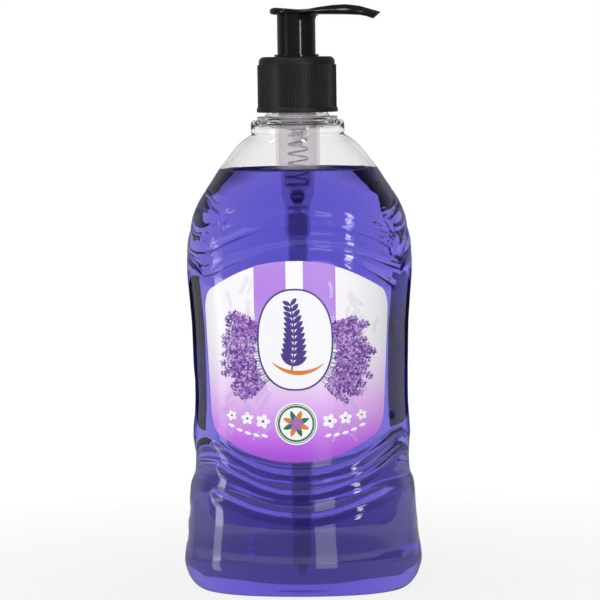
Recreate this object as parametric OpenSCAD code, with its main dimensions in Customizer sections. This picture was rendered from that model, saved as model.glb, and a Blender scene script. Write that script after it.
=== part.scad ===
/* [Bottle body] */
// Width of the bottle at its foot
foot_width = 98; // [90:0.5:110]
// Width of the bottle across the label
body_width = 88.4; // [80:0.2:96]
// Depth of the bottle, front to back, at its foot
foot_depth = 66.8; // [56:0.2:76]
// Depth of the bottle, front to back, across the label
body_depth = 63.6; // [54:0.2:70]
// Wall of the blown bottle
bottle_wall = 0.7; // [0.6:0.05:1.2]
// Height of the hollow pushed up in the base
push_up = 3.6; // [2:0.1:6]
// Depth of the arched grooves above and below the label
groove_depth = 1.3; // [0.6:0.1:1.6]
// Depth of the finger waves in the sides
wave_depth = 1.4; // [0.5:0.1:1.8]

/* [Neck] */
// Height of the shoulder where the neck begins
neck_foot_z = 187.5; // [184:0.1:192]
// Radius of the round step under the support ring
step_radius = 19.2; // [18:0.1:21]
// Radius of the support ring
ring_radius = 16.5; // [15.5:0.1:17.5]
// Radius of the neck under the thread
neck_radius = 12.6; // [12.3:0.05:12.7]
// Radius of the neck's bore
neck_bore_radius = 10.9; // [10.7:0.05:11]
// Height of the neck's lip above the floor
lip_z = 213; // [211:0.1:215]
// Rise of the thread in one turn
thread_pitch = 4.23; // [4:0.01:4.4]
// Turns of the thread
thread_turns = 1.5; // [1:0.25:1.75]
// Radial height of the bottle's thread
thread_height = 1.15; // [0.9:0.05:1.2]

/* [Contents and label] */
// Height of the liquid's surface
liquid_level = 172.6; // [155:0.1:176]
// Gap left round the contents
contents_gap = 0.3; // [0.15:0.01:0.4]
// Distance from the bottle's side to the label's top corners
label_top_inset = 6.8; // [5.5:0.1:10]
// Distance from the bottle's side to the label's bottom corners
label_bottom_inset = 9.6; // [8:0.1:14]
// Height of the label's crest above the floor
label_crest_z = 137.2; // [130:0.1:138]
// Height of the label's lowest point above the floor
label_low_z = 55.8; // [55:0.1:66]
// Thickness of the label's film
label_film = 0.12; // [0.08:0.01:0.3]

/* [Collar] */
// Radius over the collar's ribs
collar_radius = 16.2; // [16:0.05:17.5]
// Height of the collar
collar_height = 22.7; // [22:0.1:26]
// Number of fine ribs round the collar
rib_count = 84; // [48:1:120]
// Depth of one rib
rib_depth = 0.35; // [0.2:0.05:0.5]
// Radius of the plain band at the collar's foot
collar_band_radius = 16.65; // [16.3:0.05:18]
// Radius of the collar's smooth shoulder
collar_shoulder_radius = 15.6; // [15.2:0.05:16]

/* [Pump] */
// Downward travel of the pump head
stroke = 13; // [8:0.5:13.5]
// Radius of the piston chamber
chamber_radius = 7.8; // [7.4:0.05:7.9]
// Wall of the pump housing
housing_wall = 1.2; // [0.9:0.05:1.4]
// Outer radius of the housing's lower stage
inlet_radius = 6.2; // [6:0.05:6.6]
// Radius of the dip tube
tube_radius = 3.8; // [3:0.05:4.2]
// Wall of the dip tube
tube_wall = 0.7; // [0.5:0.05:1]
// Height of the dip tube's open end above the floor
tube_end_z = 8; // [7:0.5:20]
// Radius of the inlet valve's ball
ball_radius = 2.8; // [2.6:0.05:2.9]
// Wire of the return spring
spring_wire = 0.8; // [0.6:0.05:1]
// Turns of the return spring
spring_turns = 8; // [6:1:10]
// Radius of the hollow stem
stem_radius = 4; // [3.6:0.05:4.2]
// Running fit between sliding or turning pieces
running_fit = 0.06; // [0.04:0.01:0.1]
// Free gap between pieces that pass each other
free_gap = 0.3; // [0.2:0.05:0.4]

/* [Pump head] */
// Radius of the head's skirt
skirt_radius = 7.85; // [7.6:0.05:7.9]
// Reach of the nozzle from the pump's axis
nozzle_reach = 34.7; // [28:0.1:45]
// Distance from the pump's axis to the thumb rest's rear edge
rest_back = 10.7; // [10.2:0.1:13]
// Half width of the thumb rest
rest_half_width = 9.6; // [8.5:0.1:12]
// Half width of the nozzle's end
nozzle_half_width = 3.6; // [3:0.1:5]
// Height of the head's highest point above the lock collar, pressed right down
head_rise = 7.2; // [7.1:0.1:9]

/* [Hidden] */
$fn = 72;
tiny = 0.01;

// Columns of the body's mesh, one every nine degrees of its outline
columns = 40;

// Body stations from the floor up: height, half width, half depth, squareness
foot_a = foot_width / 2;
foot_b = foot_depth / 2;
body_a = body_width / 2;
body_b = body_depth / 2;
foot_z = 12.4;
stations = [
    [0, foot_a - 8.8, foot_b - 7.4, 2.3],
    [0.6, foot_a - 6.8, foot_b - 5.6, 2.35],
    [3, foot_a - 3.7, foot_b - 2.9, 2.45],
    [7, foot_a - 1.3, foot_b - 1, 2.5],
    [foot_z, foot_a, foot_b, 2.5],
    [18, foot_a - 0.6, foot_b - 0.4, 2.5],
    [26, foot_a - 1.5, body_b + 1.1, 2.5],
    [38, body_a + 2.4, body_b + 0.3, 2.5],
    [44, body_a + 1.8, body_b + 0.1, 2.5],
    [49, body_a + 0.3, body_b, 2.5],
    [55, body_a, body_b, 2.5],
    [65, body_a + 0.5, body_b, 2.5],
    [80, body_a - 0.1, body_b, 2.5],
    [95, body_a, body_b, 2.5],
    [109, body_a + 0.3, body_b, 2.5],
    [119, body_a + 1, body_b, 2.5],
    [134, body_a + 2, body_b, 2.5],
    [143, body_a + 1.6, body_b - 0.1, 2.5],
    [149, body_a + 0.4, body_b - 0.5, 2.48],
    [154, body_a - 0.6, body_b - 1, 2.45],
    [159, body_a - 2.6, body_b - 1.9, 2.4],
    [164, body_a - 5.5, body_b - 3.3, 2.35],
    [168.6, body_a - 8.6, body_b - 4.8, 2.3],
    [172.7, body_a - 11.2, body_b - 6.3, 2.2],
    [176.7, body_a - 14.3, body_b - 7.9, 2.12],
    [180.8, body_a - 17.5, body_b - 9.6, 2.08],
    [184.8, step_radius + 3.7, step_radius + 1.1, 2.04],
    [neck_foot_z, step_radius - 0.4, step_radius - 0.4, 2]
];

// Edges of the relief: height at the front's middle, at the lapel's low corner on
// the left and on the right, rise from there to the lapel's tip, height at the
// side, then the corner's angle from the side on the left and on the right
arch_a = [154.8, 149.3, 147.5, 6, 159.5, 52, 36];
arch_b = [151.6, 140.8, 136.2, 5, 147.2, 44, 27];
arch_c = [143, 131, 132.4, 4.5, 138.3, 40, 25];
panel = [104, 104, 104, 0, 104, 40, 40];
smile_a = [50.2, 61.8, 64.2, 0.3, 63, 48, 34];
smile_b = [42.2, 52.1, 55.4, 0.3, 54.4, 52, 34];
smile_c = [32.5, 41.7, 41.4, 0.2, 42, 48, 41];
hem = [19, 20, 20, 0, 20, 40, 40];
top_edge = [neck_foot_z, neck_foot_z, neck_foot_z, 0, neck_foot_z, 40, 40];
floor_edge = [0, 0, 0, 0, 0, 40, 40];
edges = [top_edge, arch_a, arch_b, arch_c, panel, smile_a, smile_b, smile_c, hem, floor_edge];

// Width of a lapel's steep flank in degrees of the outline
lapel_flank = 7;

// Grooves: the edge they follow, depth as a share, reach above and below it, and
// the angle over which they fade out past the corner (0 for none)
grooves = [
    [arch_a, 0.8, 3, 1.3, 0],
    [arch_b, 1, 1.3, 1.6, 0],
    [arch_c, 1, 1.5, 1.8, 0],
    [smile_a, 0.75, 1.7, 1.7, 14],
    [smile_b, 0.85, 1.7, 1.7, 14],
    [smile_c, 0.95, 2, 2, 14]
];

// Waves in the left side of the front and the right side of the back: height,
// depth as a share, reach along the height
waves = [[80.4, 1, 8], [54.2, 0.8, 5], [33.2, 0.75, 2], [22.4, 0.6, 2]];
wave_reach_deg = 26;

// Share of the way down from one edge to the next for each row of the mesh
row_steps = [
    [0, 0.04, 0.09, 0.16, 0.25, 0.36, 0.48, 0.61, 0.74, 0.86, 0.94],
    [0, 0.22, 0.55],
    [0, 0.24, 0.6],
    [0, 0.05, 0.13, 0.5],
    [0, 0.3, 0.6, 0.85, 0.96],
    [0, 0.22, 0.6, 0.84],
    [0, 0.22, 0.6, 0.84],
    [0, 0.18, 0.45, 0.75],
    [0, 0.35, 0.6, 0.8, 0.92, 1]
];
rows = [for (band = [0:len(row_steps) - 1]) for (step = row_steps[band]) [band, step]];

// Floor rows of the body: share of the foot ring's size and of the push-up
standing_share = 0.95;
floor_rows = [[standing_share, 0], [0.88, 0.27], [0.7, 0.72], [0.35, 0.95]];

function lerp(from, to, share) = from + (to - from) * share;
function ease(share) = let (s = min(1, max(0, share))) s * s * (3 - 2 * s);
function bell(distance, reach) = exp(-pow(distance / reach, 2));

// Slope of one station value, limited so that the curve never overshoots
function chord(list, i, k) =
    (list[i + 1][k] - list[i][k]) / (list[i + 1][0] - list[i][0]);
function slope(list, i, k) =
    i == 0 ? chord(list, 0, k)
    : i == len(list) - 1 ? chord(list, i - 1, k)
    : let (before = chord(list, i - 1, k), after = chord(list, i, k))
      before * after <= 0 ? 0 : 2 * before * after / (before + after);

// Smooth value of column k of a station list at height z
function station_index(list, z, i = 0) =
    i >= len(list) - 2 || z < list[i + 1][0] ? i : station_index(list, z, i + 1);
function station_value(list, i, z, k) =
    let (
        span = list[i + 1][0] - list[i][0],
        s = min(1, max(0, (z - list[i][0]) / span)),
        m0 = slope(list, i, k) * span,
        m1 = slope(list, i + 1, k) * span
    )
    (2 * s * s * s - 3 * s * s + 1) * list[i][k] + (s * s * s - 2 * s * s + s) * m0
    + (3 * s * s - 2 * s * s * s) * list[i + 1][k] + (s * s * s - s * s) * m1;

// Outline angle counted from the nearer side, 0 at a side and 90 at the middle
function side_angle(t) = let (m = ((t % 180) + 180) % 180) m > 90 ? 180 - m : m;

// True where the front's left half or the back's right half is
function is_left(t) = let (m = ((t % 180) + 180) % 180) m < 90;

// Angle of a relief edge's corner from the side that outline angle t is nearer
function edge_corner(edge, t) = is_left(t) ? edge[5] : edge[6];

// Height of a relief edge at outline angle t
function edge_z(edge, t) =
    let (
        s = side_angle(t),
        corner = edge_corner(edge, t),
        corner_z = is_left(t) ? edge[1] : edge[2],
        tip = corner - lapel_flank,
        tip_z = corner_z + edge[3],
        x_share = pow(cos(s) / cos(corner), 0.8)
    )
    s >= corner ? lerp(edge[0], corner_z, x_share * x_share)
    : s >= tip ? lerp(tip_z, corner_z, (s - tip) / lapel_flank)
    : lerp(edge[4], tip_z, ease(s / tip));

// Depth of the relief at outline angle t and height z
function relief(t, z) =
    let (
        arches = [for (g = grooves)
            let (
                d = z - edge_z(g[0], t),
                past = edge_corner(g[0], t) - side_angle(t),
                fade = g[4] == 0 ? 1 : ease(1 - past / g[4])
            )
            groove_depth * g[1] * fade * bell(d, d > 0 ? g[2] : g[3])],
        side = is_left(t) ? ease(1 - side_angle(t) / wave_reach_deg) : 0,
        swells = [for (w = waves) wave_depth * w[1] * side * bell(z - w[0], w[2])]
    )
    max(arches) + max(swells);

// Point of the body's outline at angle t and height z, sunk by depth
function body_point(t, z, sunk) =
    let (
        i = station_index(stations, z),
        a = station_value(stations, i, z, 1) - sunk,
        b = station_value(stations, i, z, 2) - sunk,
        power = 2 / station_value(stations, i, z, 3),
        c = cos(t),
        s = sin(t)
    )
    [a * sign(c) * pow(abs(c), power), b * sign(s) * pow(abs(s), power), z];

function column_angle(j) = j * 360 / columns;

// Rings of a skin that lies inside the body's surface by inset
function skin_ring(row, inset, floor_z) = [for (j = [0:columns - 1])
    let (
        t = column_angle(j),
        z = lerp(edge_z(edges[row[0]], t), edge_z(edges[row[0] + 1], t), row[1]),
        point = body_point(t, z, relief(t, z) + inset)
    )
    [point[0], point[1], max(z, 0) + floor_z * ease(1 - z / foot_z)]];
function floor_ring(share, rise, inset, floor_z) = [for (j = [0:columns - 1])
    let (point = body_point(column_angle(j), 0, inset))
    [point[0] * share, point[1] * share, push_up * rise + floor_z]];
function skin_rings(inset, floor_z, top) = concat(
    [for (row = rows) if (lerp(edges[row[0]][0], edges[row[0] + 1][0], row[1]) < top)
        skin_ring(row, inset, floor_z)],
    [for (f = floor_rows) floor_ring(f[0], f[1], min(inset, bottle_wall), floor_z)]
);
function flatten(lists) = [for (list = lists) for (item = list) item];

// Faces between rings of points that follow one another; turned says which
// way round they face
function band_faces(count, first, turned) = [for (i = [0:count - 2]) for (j = [0:columns - 1])
    for (half = [0, 1])
        let (
            p = first + i * columns,
            k = (j + 1) % columns,
            near = half == 0 ? [p + j, p + k, p + columns + j]
                : [p + k, p + columns + k, p + columns + j]
        )
        turned ? [near[2], near[1], near[0]] : near];
function fan_faces(first, centre, turned) = [for (j = [0:columns - 1])
    let (k = (j + 1) % columns)
    turned ? [centre, first + k, first + j] : [first + j, first + k, centre]];

// Blown shell: outer skin and inner skin joined round the neck's foot
module blown_shell() {
    outer = skin_rings(0, 0, 1000);
    inner = skin_rings(bottle_wall, bottle_wall, 1000);
    count = len(outer);
    n = count * columns;
    points = concat(flatten(outer), flatten(inner),
        [[0, 0, push_up], [0, 0, push_up + bottle_wall]]);
    rim = [for (j = [0:columns - 1]) for (half = [0, 1])
        let (k = (j + 1) % columns)
        half == 0 ? [j, n + j, k] : [k, n + j, n + k]];
    polyhedron(points, concat(
        band_faces(count, 0, false),
        band_faces(count, n, true),
        rim,
        fan_faces((count - 1) * columns, 2 * n, false),
        fan_faces(n + (count - 1) * columns, 2 * n + 1, true)
    ));
}

// One helical ridge of trapezoid section on a wall, standing out by height
// (negative for a ridge that points inwards)
module helical_ridge(wall_radius, height, foot_width, crest_width, low_z) {
    steps = 26;
    sunk = 0.35 * sign(height);
    last = round(thread_turns * steps);
    points = [for (i = [0:last])
        let (
            angle = i * 360 / steps,
            z = low_z + thread_pitch * i / steps,
            grow = min(1, 0.12 + min(i, last - i) / 3),
            crest = wall_radius + height * grow,
            foot = wall_radius - sunk
        )
        for (corner = [[foot, -foot_width / 2], [crest, -crest_width / 2],
                       [crest, crest_width / 2], [foot, foot_width / 2]])
        [corner[0] * cos(angle), corner[0] * sin(angle), z + corner[1]]];
    sides = [for (i = [0:last - 1]) for (c = [0:3]) for (half = [0, 1])
        let (d = (c + 1) % 4, p = 4 * i,
             face = half == 0 ? [p + c, p + d, p + 4 + c] : [p + d, p + 4 + d, p + 4 + c])
        height > 0 ? [face[2], face[1], face[0]] : face];
    ends = height > 0
        ? [[3, 2, 1, 0], [4 * last, 4 * last + 1, 4 * last + 2, 4 * last + 3]]
        : [[0, 1, 2, 3], [4 * last + 3, 4 * last + 2, 4 * last + 1, 4 * last]];
    polyhedron(points, concat(sides, ends), convexity = 6);
}

// Thread sections
thread_foot = 2.3;
thread_crest = 1;
collar_thread_foot = 2.1;
collar_thread_crest = 0.9;
thread_top_z = lip_z - 2.6;
thread_low_z = thread_top_z - thread_pitch * thread_turns;
// The collar's ridge lies under the bottle's by this much
thread_offset = (thread_foot + thread_crest + collar_thread_foot + collar_thread_crest) / 4
    + free_gap - 0.1;
collar_bore_radius = neck_radius + thread_height + free_gap;
collar_thread_height = thread_height + 0.05;

// Neck levels
step_foot_z = neck_foot_z + 0.8;
step_top_z = neck_foot_z + 6;
ring_top_z = step_top_z + 1.2;

module bottle() {
    color([0.86, 0.9, 0.94, 0.4]) {
        blown_shell();
        rotate_extrude() polygon([
            [step_radius - 0.45, neck_foot_z - tiny],
            [step_radius, step_foot_z],
            [step_radius, step_top_z - 1.9],
            [step_radius - 0.4, step_top_z - 0.8],
            [step_radius - 1.4, step_top_z - 0.2],
            [ring_radius - 0.4, step_top_z],
            [ring_radius, step_top_z + 0.3],
            [ring_radius, ring_top_z - 0.3],
            [ring_radius - 0.3, ring_top_z],
            [neck_radius, ring_top_z + 0.7],
            [neck_radius, lip_z - 0.6],
            [neck_radius - 0.5, lip_z],
            [neck_bore_radius + 0.2, lip_z],
            [neck_bore_radius, lip_z - 0.3],
            [neck_bore_radius, step_top_z + 0.1],
            [neck_bore_radius + 1, step_top_z - 1.3],
            [step_radius - 1.8, step_top_z - 1.8],
            [step_radius - bottle_wall - 0.1, step_top_z - 3],
            [step_radius - bottle_wall - 0.1, step_foot_z],
            [step_radius - 0.4 - bottle_wall, neck_foot_z - tiny]
        ]);
        helical_ridge(neck_radius, thread_height, thread_foot, thread_crest, thread_low_z);
    }
}

// Housing levels, from the bottle's lip down
gasket_thickness = 1.2;
flange_z = lip_z + gasket_thickness;
flange_thickness = 1.4;
boss_top_z = flange_z + 3.4;
cup_floor_z = lip_z - 12.1;
shank_radius = skirt_radius + free_gap + 0.55;
housing_top_radius = neck_bore_radius - 0.6;
housing_radius = chamber_radius + housing_wall;
chamber_foot_z = cup_floor_z - stroke - 13.4;
inlet_bore_radius = inlet_radius - housing_wall;
lower_stage = 10.7;
ledge_z = chamber_foot_z - lower_stage;
seat_z = ledge_z - 6;
socket_top_z = seat_z - 1.6;
socket_length = 11;
socket_foot_z = socket_top_z - socket_length;
socket_radius = tube_radius + 1.1;
lip_hole_radius = ball_radius - 0.25;
ball_room_radius = ball_radius + free_gap;
inlet_hole_radius = ball_radius - 0.9;
cone_rise = 1.8;

module pump_housing() {
    color([0.93, 0.93, 0.92, 0.8])
    rotate_extrude() polygon([
        [neck_radius + 0.6, flange_z],
        [neck_radius + 0.6, flange_z + flange_thickness],
        [neck_radius - 0.6, flange_z + flange_thickness],
        [neck_radius - 0.9, boss_top_z],
        [shank_radius, boss_top_z],
        [shank_radius, cup_floor_z],
        [chamber_radius, cup_floor_z],
        [chamber_radius, chamber_foot_z],
        [inlet_bore_radius, chamber_foot_z - 2.4],
        [inlet_bore_radius, ledge_z],
        [lip_hole_radius, ledge_z],
        [lip_hole_radius, ledge_z - 0.7],
        [ball_room_radius, ledge_z - 1],
        [ball_room_radius, seat_z + cone_rise],
        [inlet_hole_radius, seat_z],
        [inlet_hole_radius, socket_top_z],
        [tube_radius, socket_top_z],
        [tube_radius, socket_foot_z],
        [socket_radius, socket_foot_z],
        [socket_radius, seat_z],
        [inlet_radius, seat_z + 2.6],
        [inlet_radius, chamber_foot_z - 3],
        [housing_radius, chamber_foot_z - 0.6],
        [housing_radius, cup_floor_z - 1.4],
        [housing_top_radius, cup_floor_z - 0.2],
        [housing_top_radius, flange_z]
    ]);
}

module neck_gasket() {
    color("whitesmoke")
    translate([0, 0, lip_z])
    difference() {
        cylinder(r = neck_radius + 0.3, h = gasket_thickness);
        translate([0, 0, -1]) cylinder(r = housing_top_radius, h = gasket_thickness + 2);
    }
}

// The ball rests where it touches its cone
cone_run = ball_room_radius - inlet_hole_radius;
ball_z = seat_z + (ball_radius * norm([cone_run, cone_rise]) - inlet_hole_radius * cone_rise)
    / cone_run;

module inlet_ball() {
    color("silver") translate([0, 0, ball_z]) sphere(r = ball_radius, $fn = 48);
}

module dip_tube() {
    color([0.9, 0.9, 0.9, 0.7])
    difference() {
        translate([0, 0, tube_end_z]) cylinder(r = tube_radius, h = socket_top_z - tube_end_z);
        translate([0, 0, tube_end_z - 1])
            cylinder(r = tube_radius - tube_wall, h = socket_top_z - tube_end_z + 2);
        for (side = [-1, 1]) translate([side * tube_radius, 0, tube_end_z])
            rotate([90, 0, 0]) cylinder(r = tube_radius * 0.6, h = 4 * tube_radius, center = true);
    }
}

// Pump levels at rest
piston_top_z = cup_floor_z - 0.2;
piston_height = 8.4;
piston_foot_z = piston_top_z - piston_height;
rod_flange_height = 1.5;
rod_flange_z = piston_foot_z - rod_flange_height;
stem_foot_z = piston_foot_z + 5;
rod_neck_radius = stem_radius - 1.5;

module piston() {
    color([0.95, 0.95, 0.95])
    rotate_extrude() polygon([
        [rod_neck_radius + running_fit, piston_foot_z + tiny],
        [stem_radius + 1, piston_foot_z + tiny],
        [stem_radius + 1, piston_foot_z + 2.6],
        [chamber_radius - 1, piston_foot_z + 2.6],
        [chamber_radius - 0.8, piston_foot_z + 0.2],
        [chamber_radius - running_fit, piston_foot_z],
        [chamber_radius - running_fit, piston_foot_z + 1],
        [chamber_radius - 0.35, piston_foot_z + 1.8],
        [chamber_radius - 0.35, piston_top_z - 1.8],
        [chamber_radius - running_fit, piston_top_z - 1],
        [chamber_radius - running_fit, piston_top_z],
        [chamber_radius - 0.8, piston_top_z - 0.2],
        [chamber_radius - 1, piston_foot_z + 4.2],
        [stem_radius + 0.6, piston_foot_z + 4.6],
        [stem_radius + 0.6, stem_foot_z - tiny],
        [rod_neck_radius + running_fit, stem_foot_z - tiny]
    ]);
}

// Valve rod: seat for the spring, flow slots and a plug pressed into the stem
rod_plug_height = 9;
rod_tail = 9;

module piston_rod() {
    color("ivory")
    difference() {
        rotate_extrude() polygon([
            [0, rod_flange_z - rod_tail],
            [1.5, rod_flange_z - rod_tail],
            [1.9, rod_flange_z - rod_tail + 1.2],
            [rod_neck_radius, rod_flange_z],
            [stem_radius + 1.2, rod_flange_z],
            [stem_radius + 1.2, piston_foot_z],
            [rod_neck_radius, piston_foot_z],
            [rod_neck_radius, stem_foot_z + rod_plug_height],
            [0, stem_foot_z + rod_plug_height]
        ]);
        for (turn = [0, 90]) rotate([0, 0, turn])
            translate([rod_neck_radius - 0.9, -0.7, stem_foot_z + 0.4])
            cube([3, 1.4, rod_plug_height + 1]);
    }
}

boss_radius = stem_radius + 1.3;
collar_foot_z = boss_top_z + 1.5 - collar_height;
collar_top_z = collar_foot_z + collar_height;
lock_top_z = collar_top_z + 0.9;
head_top_z = lock_top_z + stroke + head_rise;
boss_foot_z = head_top_z - 18;
stem_top_z = head_top_z - 7.6;

module stem() {
    color([0.94, 0.94, 0.94])
    translate([0, 0, stem_foot_z])
    difference() {
        cylinder(r = stem_radius, h = stem_top_z - stem_foot_z);
        translate([0, 0, -1]) cylinder(r = rod_neck_radius, h = stem_top_z - stem_foot_z + 2);
    }
}

// Return spring, standing on the ledge under the rod's flange
spring_radius = inlet_bore_radius - 0.5 - spring_wire / 2;

module return_spring() {
    steps = 12;
    sides = 5;
    low = ledge_z + spring_wire / 2;
    high = rod_flange_z - spring_wire / 2;
    // Closed end turns take this share of the turns at each end
    closed = 0.75;
    active = spring_turns - 2 * closed;
    end_rise = 0.9 * spring_wire;
    last = spring_turns * steps;
    function wire_z(turn) =
        turn < closed ? low + end_rise * turn
        : turn > spring_turns - closed ? high - end_rise * (spring_turns - turn)
        : lerp(low + end_rise * closed, high - end_rise * closed, (turn - closed) / active);
    points = [for (i = [0:last]) for (s = [0:sides - 1])
        let (
            angle = 360 * i / steps,
            out = spring_radius + spring_wire / 2 * cos(360 * s / sides),
            up = spring_wire / 2 * sin(360 * s / sides)
        )
        [out * cos(angle), out * sin(angle), wire_z(i / steps) + up]];
    skin = [for (i = [0:last - 1]) for (s = [0:sides - 1]) for (half = [0, 1])
        let (n = (s + 1) % sides, p = i * sides)
        half == 0 ? [p + sides + s, p + n, p + s] : [p + sides + s, p + sides + n, p + n]];
    ends = [[for (s = [0:sides - 1]) s], [for (s = [sides - 1:-1:0]) last * sides + s]];
    color("silver") polyhedron(points, concat(skin, ends), convexity = 8);
}

// Lock collar: cup that guides the head, clipped through the screw collar
cup_floor = 1.3;

module lock_collar() {
    color([0.06, 0.06, 0.06])
    rotate_extrude() polygon([
        [stem_radius + running_fit, cup_floor_z],
        [shank_radius, cup_floor_z],
        [shank_radius, collar_top_z + 0.08],
        [shank_radius + 0.45, collar_top_z + 0.08],
        [shank_radius + 0.45, lock_top_z - 0.2],
        [shank_radius + 0.25, lock_top_z],
        [skirt_radius + free_gap, lock_top_z],
        [skirt_radius + free_gap, cup_floor_z + cup_floor],
        [stem_radius + running_fit, cup_floor_z + cup_floor]
    ]);
}

// Screw collar
band_height = 2.1;
shoulder_height = 3.3;

module rib_ring(height) {
    linear_extrude(height) polygon([for (i = [0:rib_count - 1]) for (part = [0, 1, 2, 3])
        let (
            angle = (i + [0, 0.28, 0.5, 0.78][part]) * 360 / rib_count,
            r = part == 1 || part == 2 ? collar_radius : collar_radius - rib_depth
        )
        [r * cos(angle), r * sin(angle)]]);
}

module screw_collar() {
    color([0.08, 0.08, 0.08]) {
        difference() {
            union() {
                translate([0, 0, collar_foot_z + band_height - tiny])
                    rib_ring(collar_height - band_height - shoulder_height + 2 * tiny);
                rotate_extrude() polygon([
                    [0, collar_foot_z],
                    [collar_band_radius - 0.3, collar_foot_z],
                    [collar_band_radius, collar_foot_z + 0.4],
                    [collar_band_radius, collar_foot_z + band_height - 0.5],
                    [collar_band_radius - 0.4, collar_foot_z + band_height],
                    [0, collar_foot_z + band_height]
                ]);
                translate([0, 0, collar_top_z - shoulder_height])
                rotate_extrude() polygon([
                    [0, 0],
                    [collar_shoulder_radius, 0],
                    for (a = [0:15:90])
                        [collar_shoulder_radius - 2.2 + 2.2 * cos(a),
                         shoulder_height - 2.2 + 2.2 * sin(a)],
                    [0, shoulder_height]
                ]);
            }
            translate([0, 0, collar_foot_z - 1])
                cylinder(r = collar_bore_radius, h = boss_top_z + running_fit - collar_foot_z + 1);
            translate([0, 0, collar_foot_z - tiny])
                cylinder(r1 = collar_bore_radius + 0.6, r2 = collar_bore_radius, h = 1.2);
            translate([0, 0, collar_foot_z])
                cylinder(r = shank_radius + running_fit, h = collar_height + 1);
        }
        helical_ridge(collar_bore_radius, -collar_thread_height, collar_thread_foot,
            collar_thread_crest, thread_low_z - thread_offset);
    }
}

// Pump head: thumb rest and nozzle, cut from the side outline and the plan
// outline, on a round skirt
skirt_foot_z = lock_top_z - 2.3;
skirt_top_z = head_top_z - 4;
// Height of the block that the thumb rest is cut from
rest_block = 10;
skirt_wall = 1.3;

// Distance from the axis, top and underside counted down from the highest point
rest_profile = [
    [-rest_back, 1.7, 3.6],
    [-rest_back + 0.6, 1.2, 3.9],
    [-rest_back + 2.2, 1, 4],
    [-4, 1.3, 4],
    [1, 1.7, 4],
    [5, 1.6, 4],
    [9, 1, 4],
    [15, 0.25, 4.1],
    [20.5, 0, 4.2],
    [nozzle_reach - 8.7, 0.7, 4.5],
    [nozzle_reach - 4, 2.1, 5.4],
    [nozzle_reach, 3.3, 6]
];
// The nozzle's lower lip ends this far behind its upper lip
lip_lean = 3.2;
outline_steps = 36;

function rest_width(x) =
    x < 0 ? rest_half_width * sqrt(max(0, 1 - pow(x / rest_back, 2)))
    : lerp(rest_half_width, nozzle_half_width, ease(x / (nozzle_reach - 6)));
function rest_level(x, column) = head_top_z
    - station_value(rest_profile, station_index(rest_profile, x), x, column);

module rest_plate() {
    intersection() {
        rotate([90, 0, 0])
        translate([0, 0, -2 * rest_half_width])
        linear_extrude(4 * rest_half_width) polygon(concat(
            [for (i = [0:outline_steps])
                let (x = lerp(-rest_back, nozzle_reach, i / outline_steps))
                [x, rest_level(x, 1)]],
            [for (i = [outline_steps:-1:0])
                let (x = lerp(-rest_back, nozzle_reach - lip_lean, i / outline_steps))
                [x, rest_level(x, 2)]]
        ));
        translate([0, 0, skirt_top_z - 5])
        linear_extrude(rest_block) polygon([for (side = [-1, 1]) for (i = [0:outline_steps])
            let (
                share = side < 0 ? i / outline_steps : 1 - i / outline_steps,
                // Points crowd towards the round rear end
                x = lerp(-rest_back, nozzle_reach, share * share)
            )
            [x, side * max(0.05, rest_width(x))]]);
    }
}

fillet_radius = 2.8;
riser_radius = 1.6;
channel_radius = 0.75;
spout_radius = 0.95;
channel_bend = [14, head_top_z - 2.35];

module channel_run(from, to, radius) {
    run = [to[0] - from[0], to[1] - from[1]];
    translate([from[0], 0, from[1]])
        rotate([0, atan2(run[0], run[1]), 0])
        cylinder(r = radius, h = norm(run), $fn = 24);
}

module actuator_head() {
    color([0.05, 0.05, 0.05])
    difference() {
        union() {
            rest_plate();
            difference() {
                translate([0, 0, skirt_foot_z])
                    cylinder(r = skirt_radius, h = skirt_top_z - skirt_foot_z + 0.8);
                translate([0, 0, skirt_foot_z - 1])
                    cylinder(r = skirt_radius - skirt_wall, h = skirt_top_z - skirt_foot_z - 2);
            }
            translate([0, 0, boss_foot_z])
                cylinder(r = boss_radius, h = skirt_top_z - boss_foot_z + 0.6);
            // Fillet from the skirt to the nozzle's underside
            intersection() {
                translate([0, 0, skirt_top_z + 0.17])
                rotate_extrude() polygon(concat([[0, 0.3], [0, -fillet_radius]],
                    [for (a = [0:15:90])
                        [skirt_radius - 0.05 + fillet_radius * (1 - cos(a)),
                         fillet_radius * (sin(a) - 1)]],
                    [[skirt_radius + fillet_radius - 0.05, 0.3]]));
                translate([1.3, -20, skirt_top_z - 5]) cube([20, 40, 8]);
            }
        }
        translate([0, 0, boss_foot_z - 1])
            cylinder(r = stem_radius, h = stem_top_z - boss_foot_z + 1);
        translate([0, 0, stem_top_z - 1])
            cylinder(r = riser_radius, h = skirt_top_z + 0.9 - stem_top_z);
        channel_run([0, skirt_top_z - 0.9], channel_bend, channel_radius);
        channel_run(channel_bend, [nozzle_reach + 1, head_top_z - 4.4], spout_radius);
    }
}

// Contents: the inside of the bottle up to the surface, with room for the pump
liquid_inset = bottle_wall + contents_gap;
floor_seat = bottle_wall + tiny;

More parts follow.
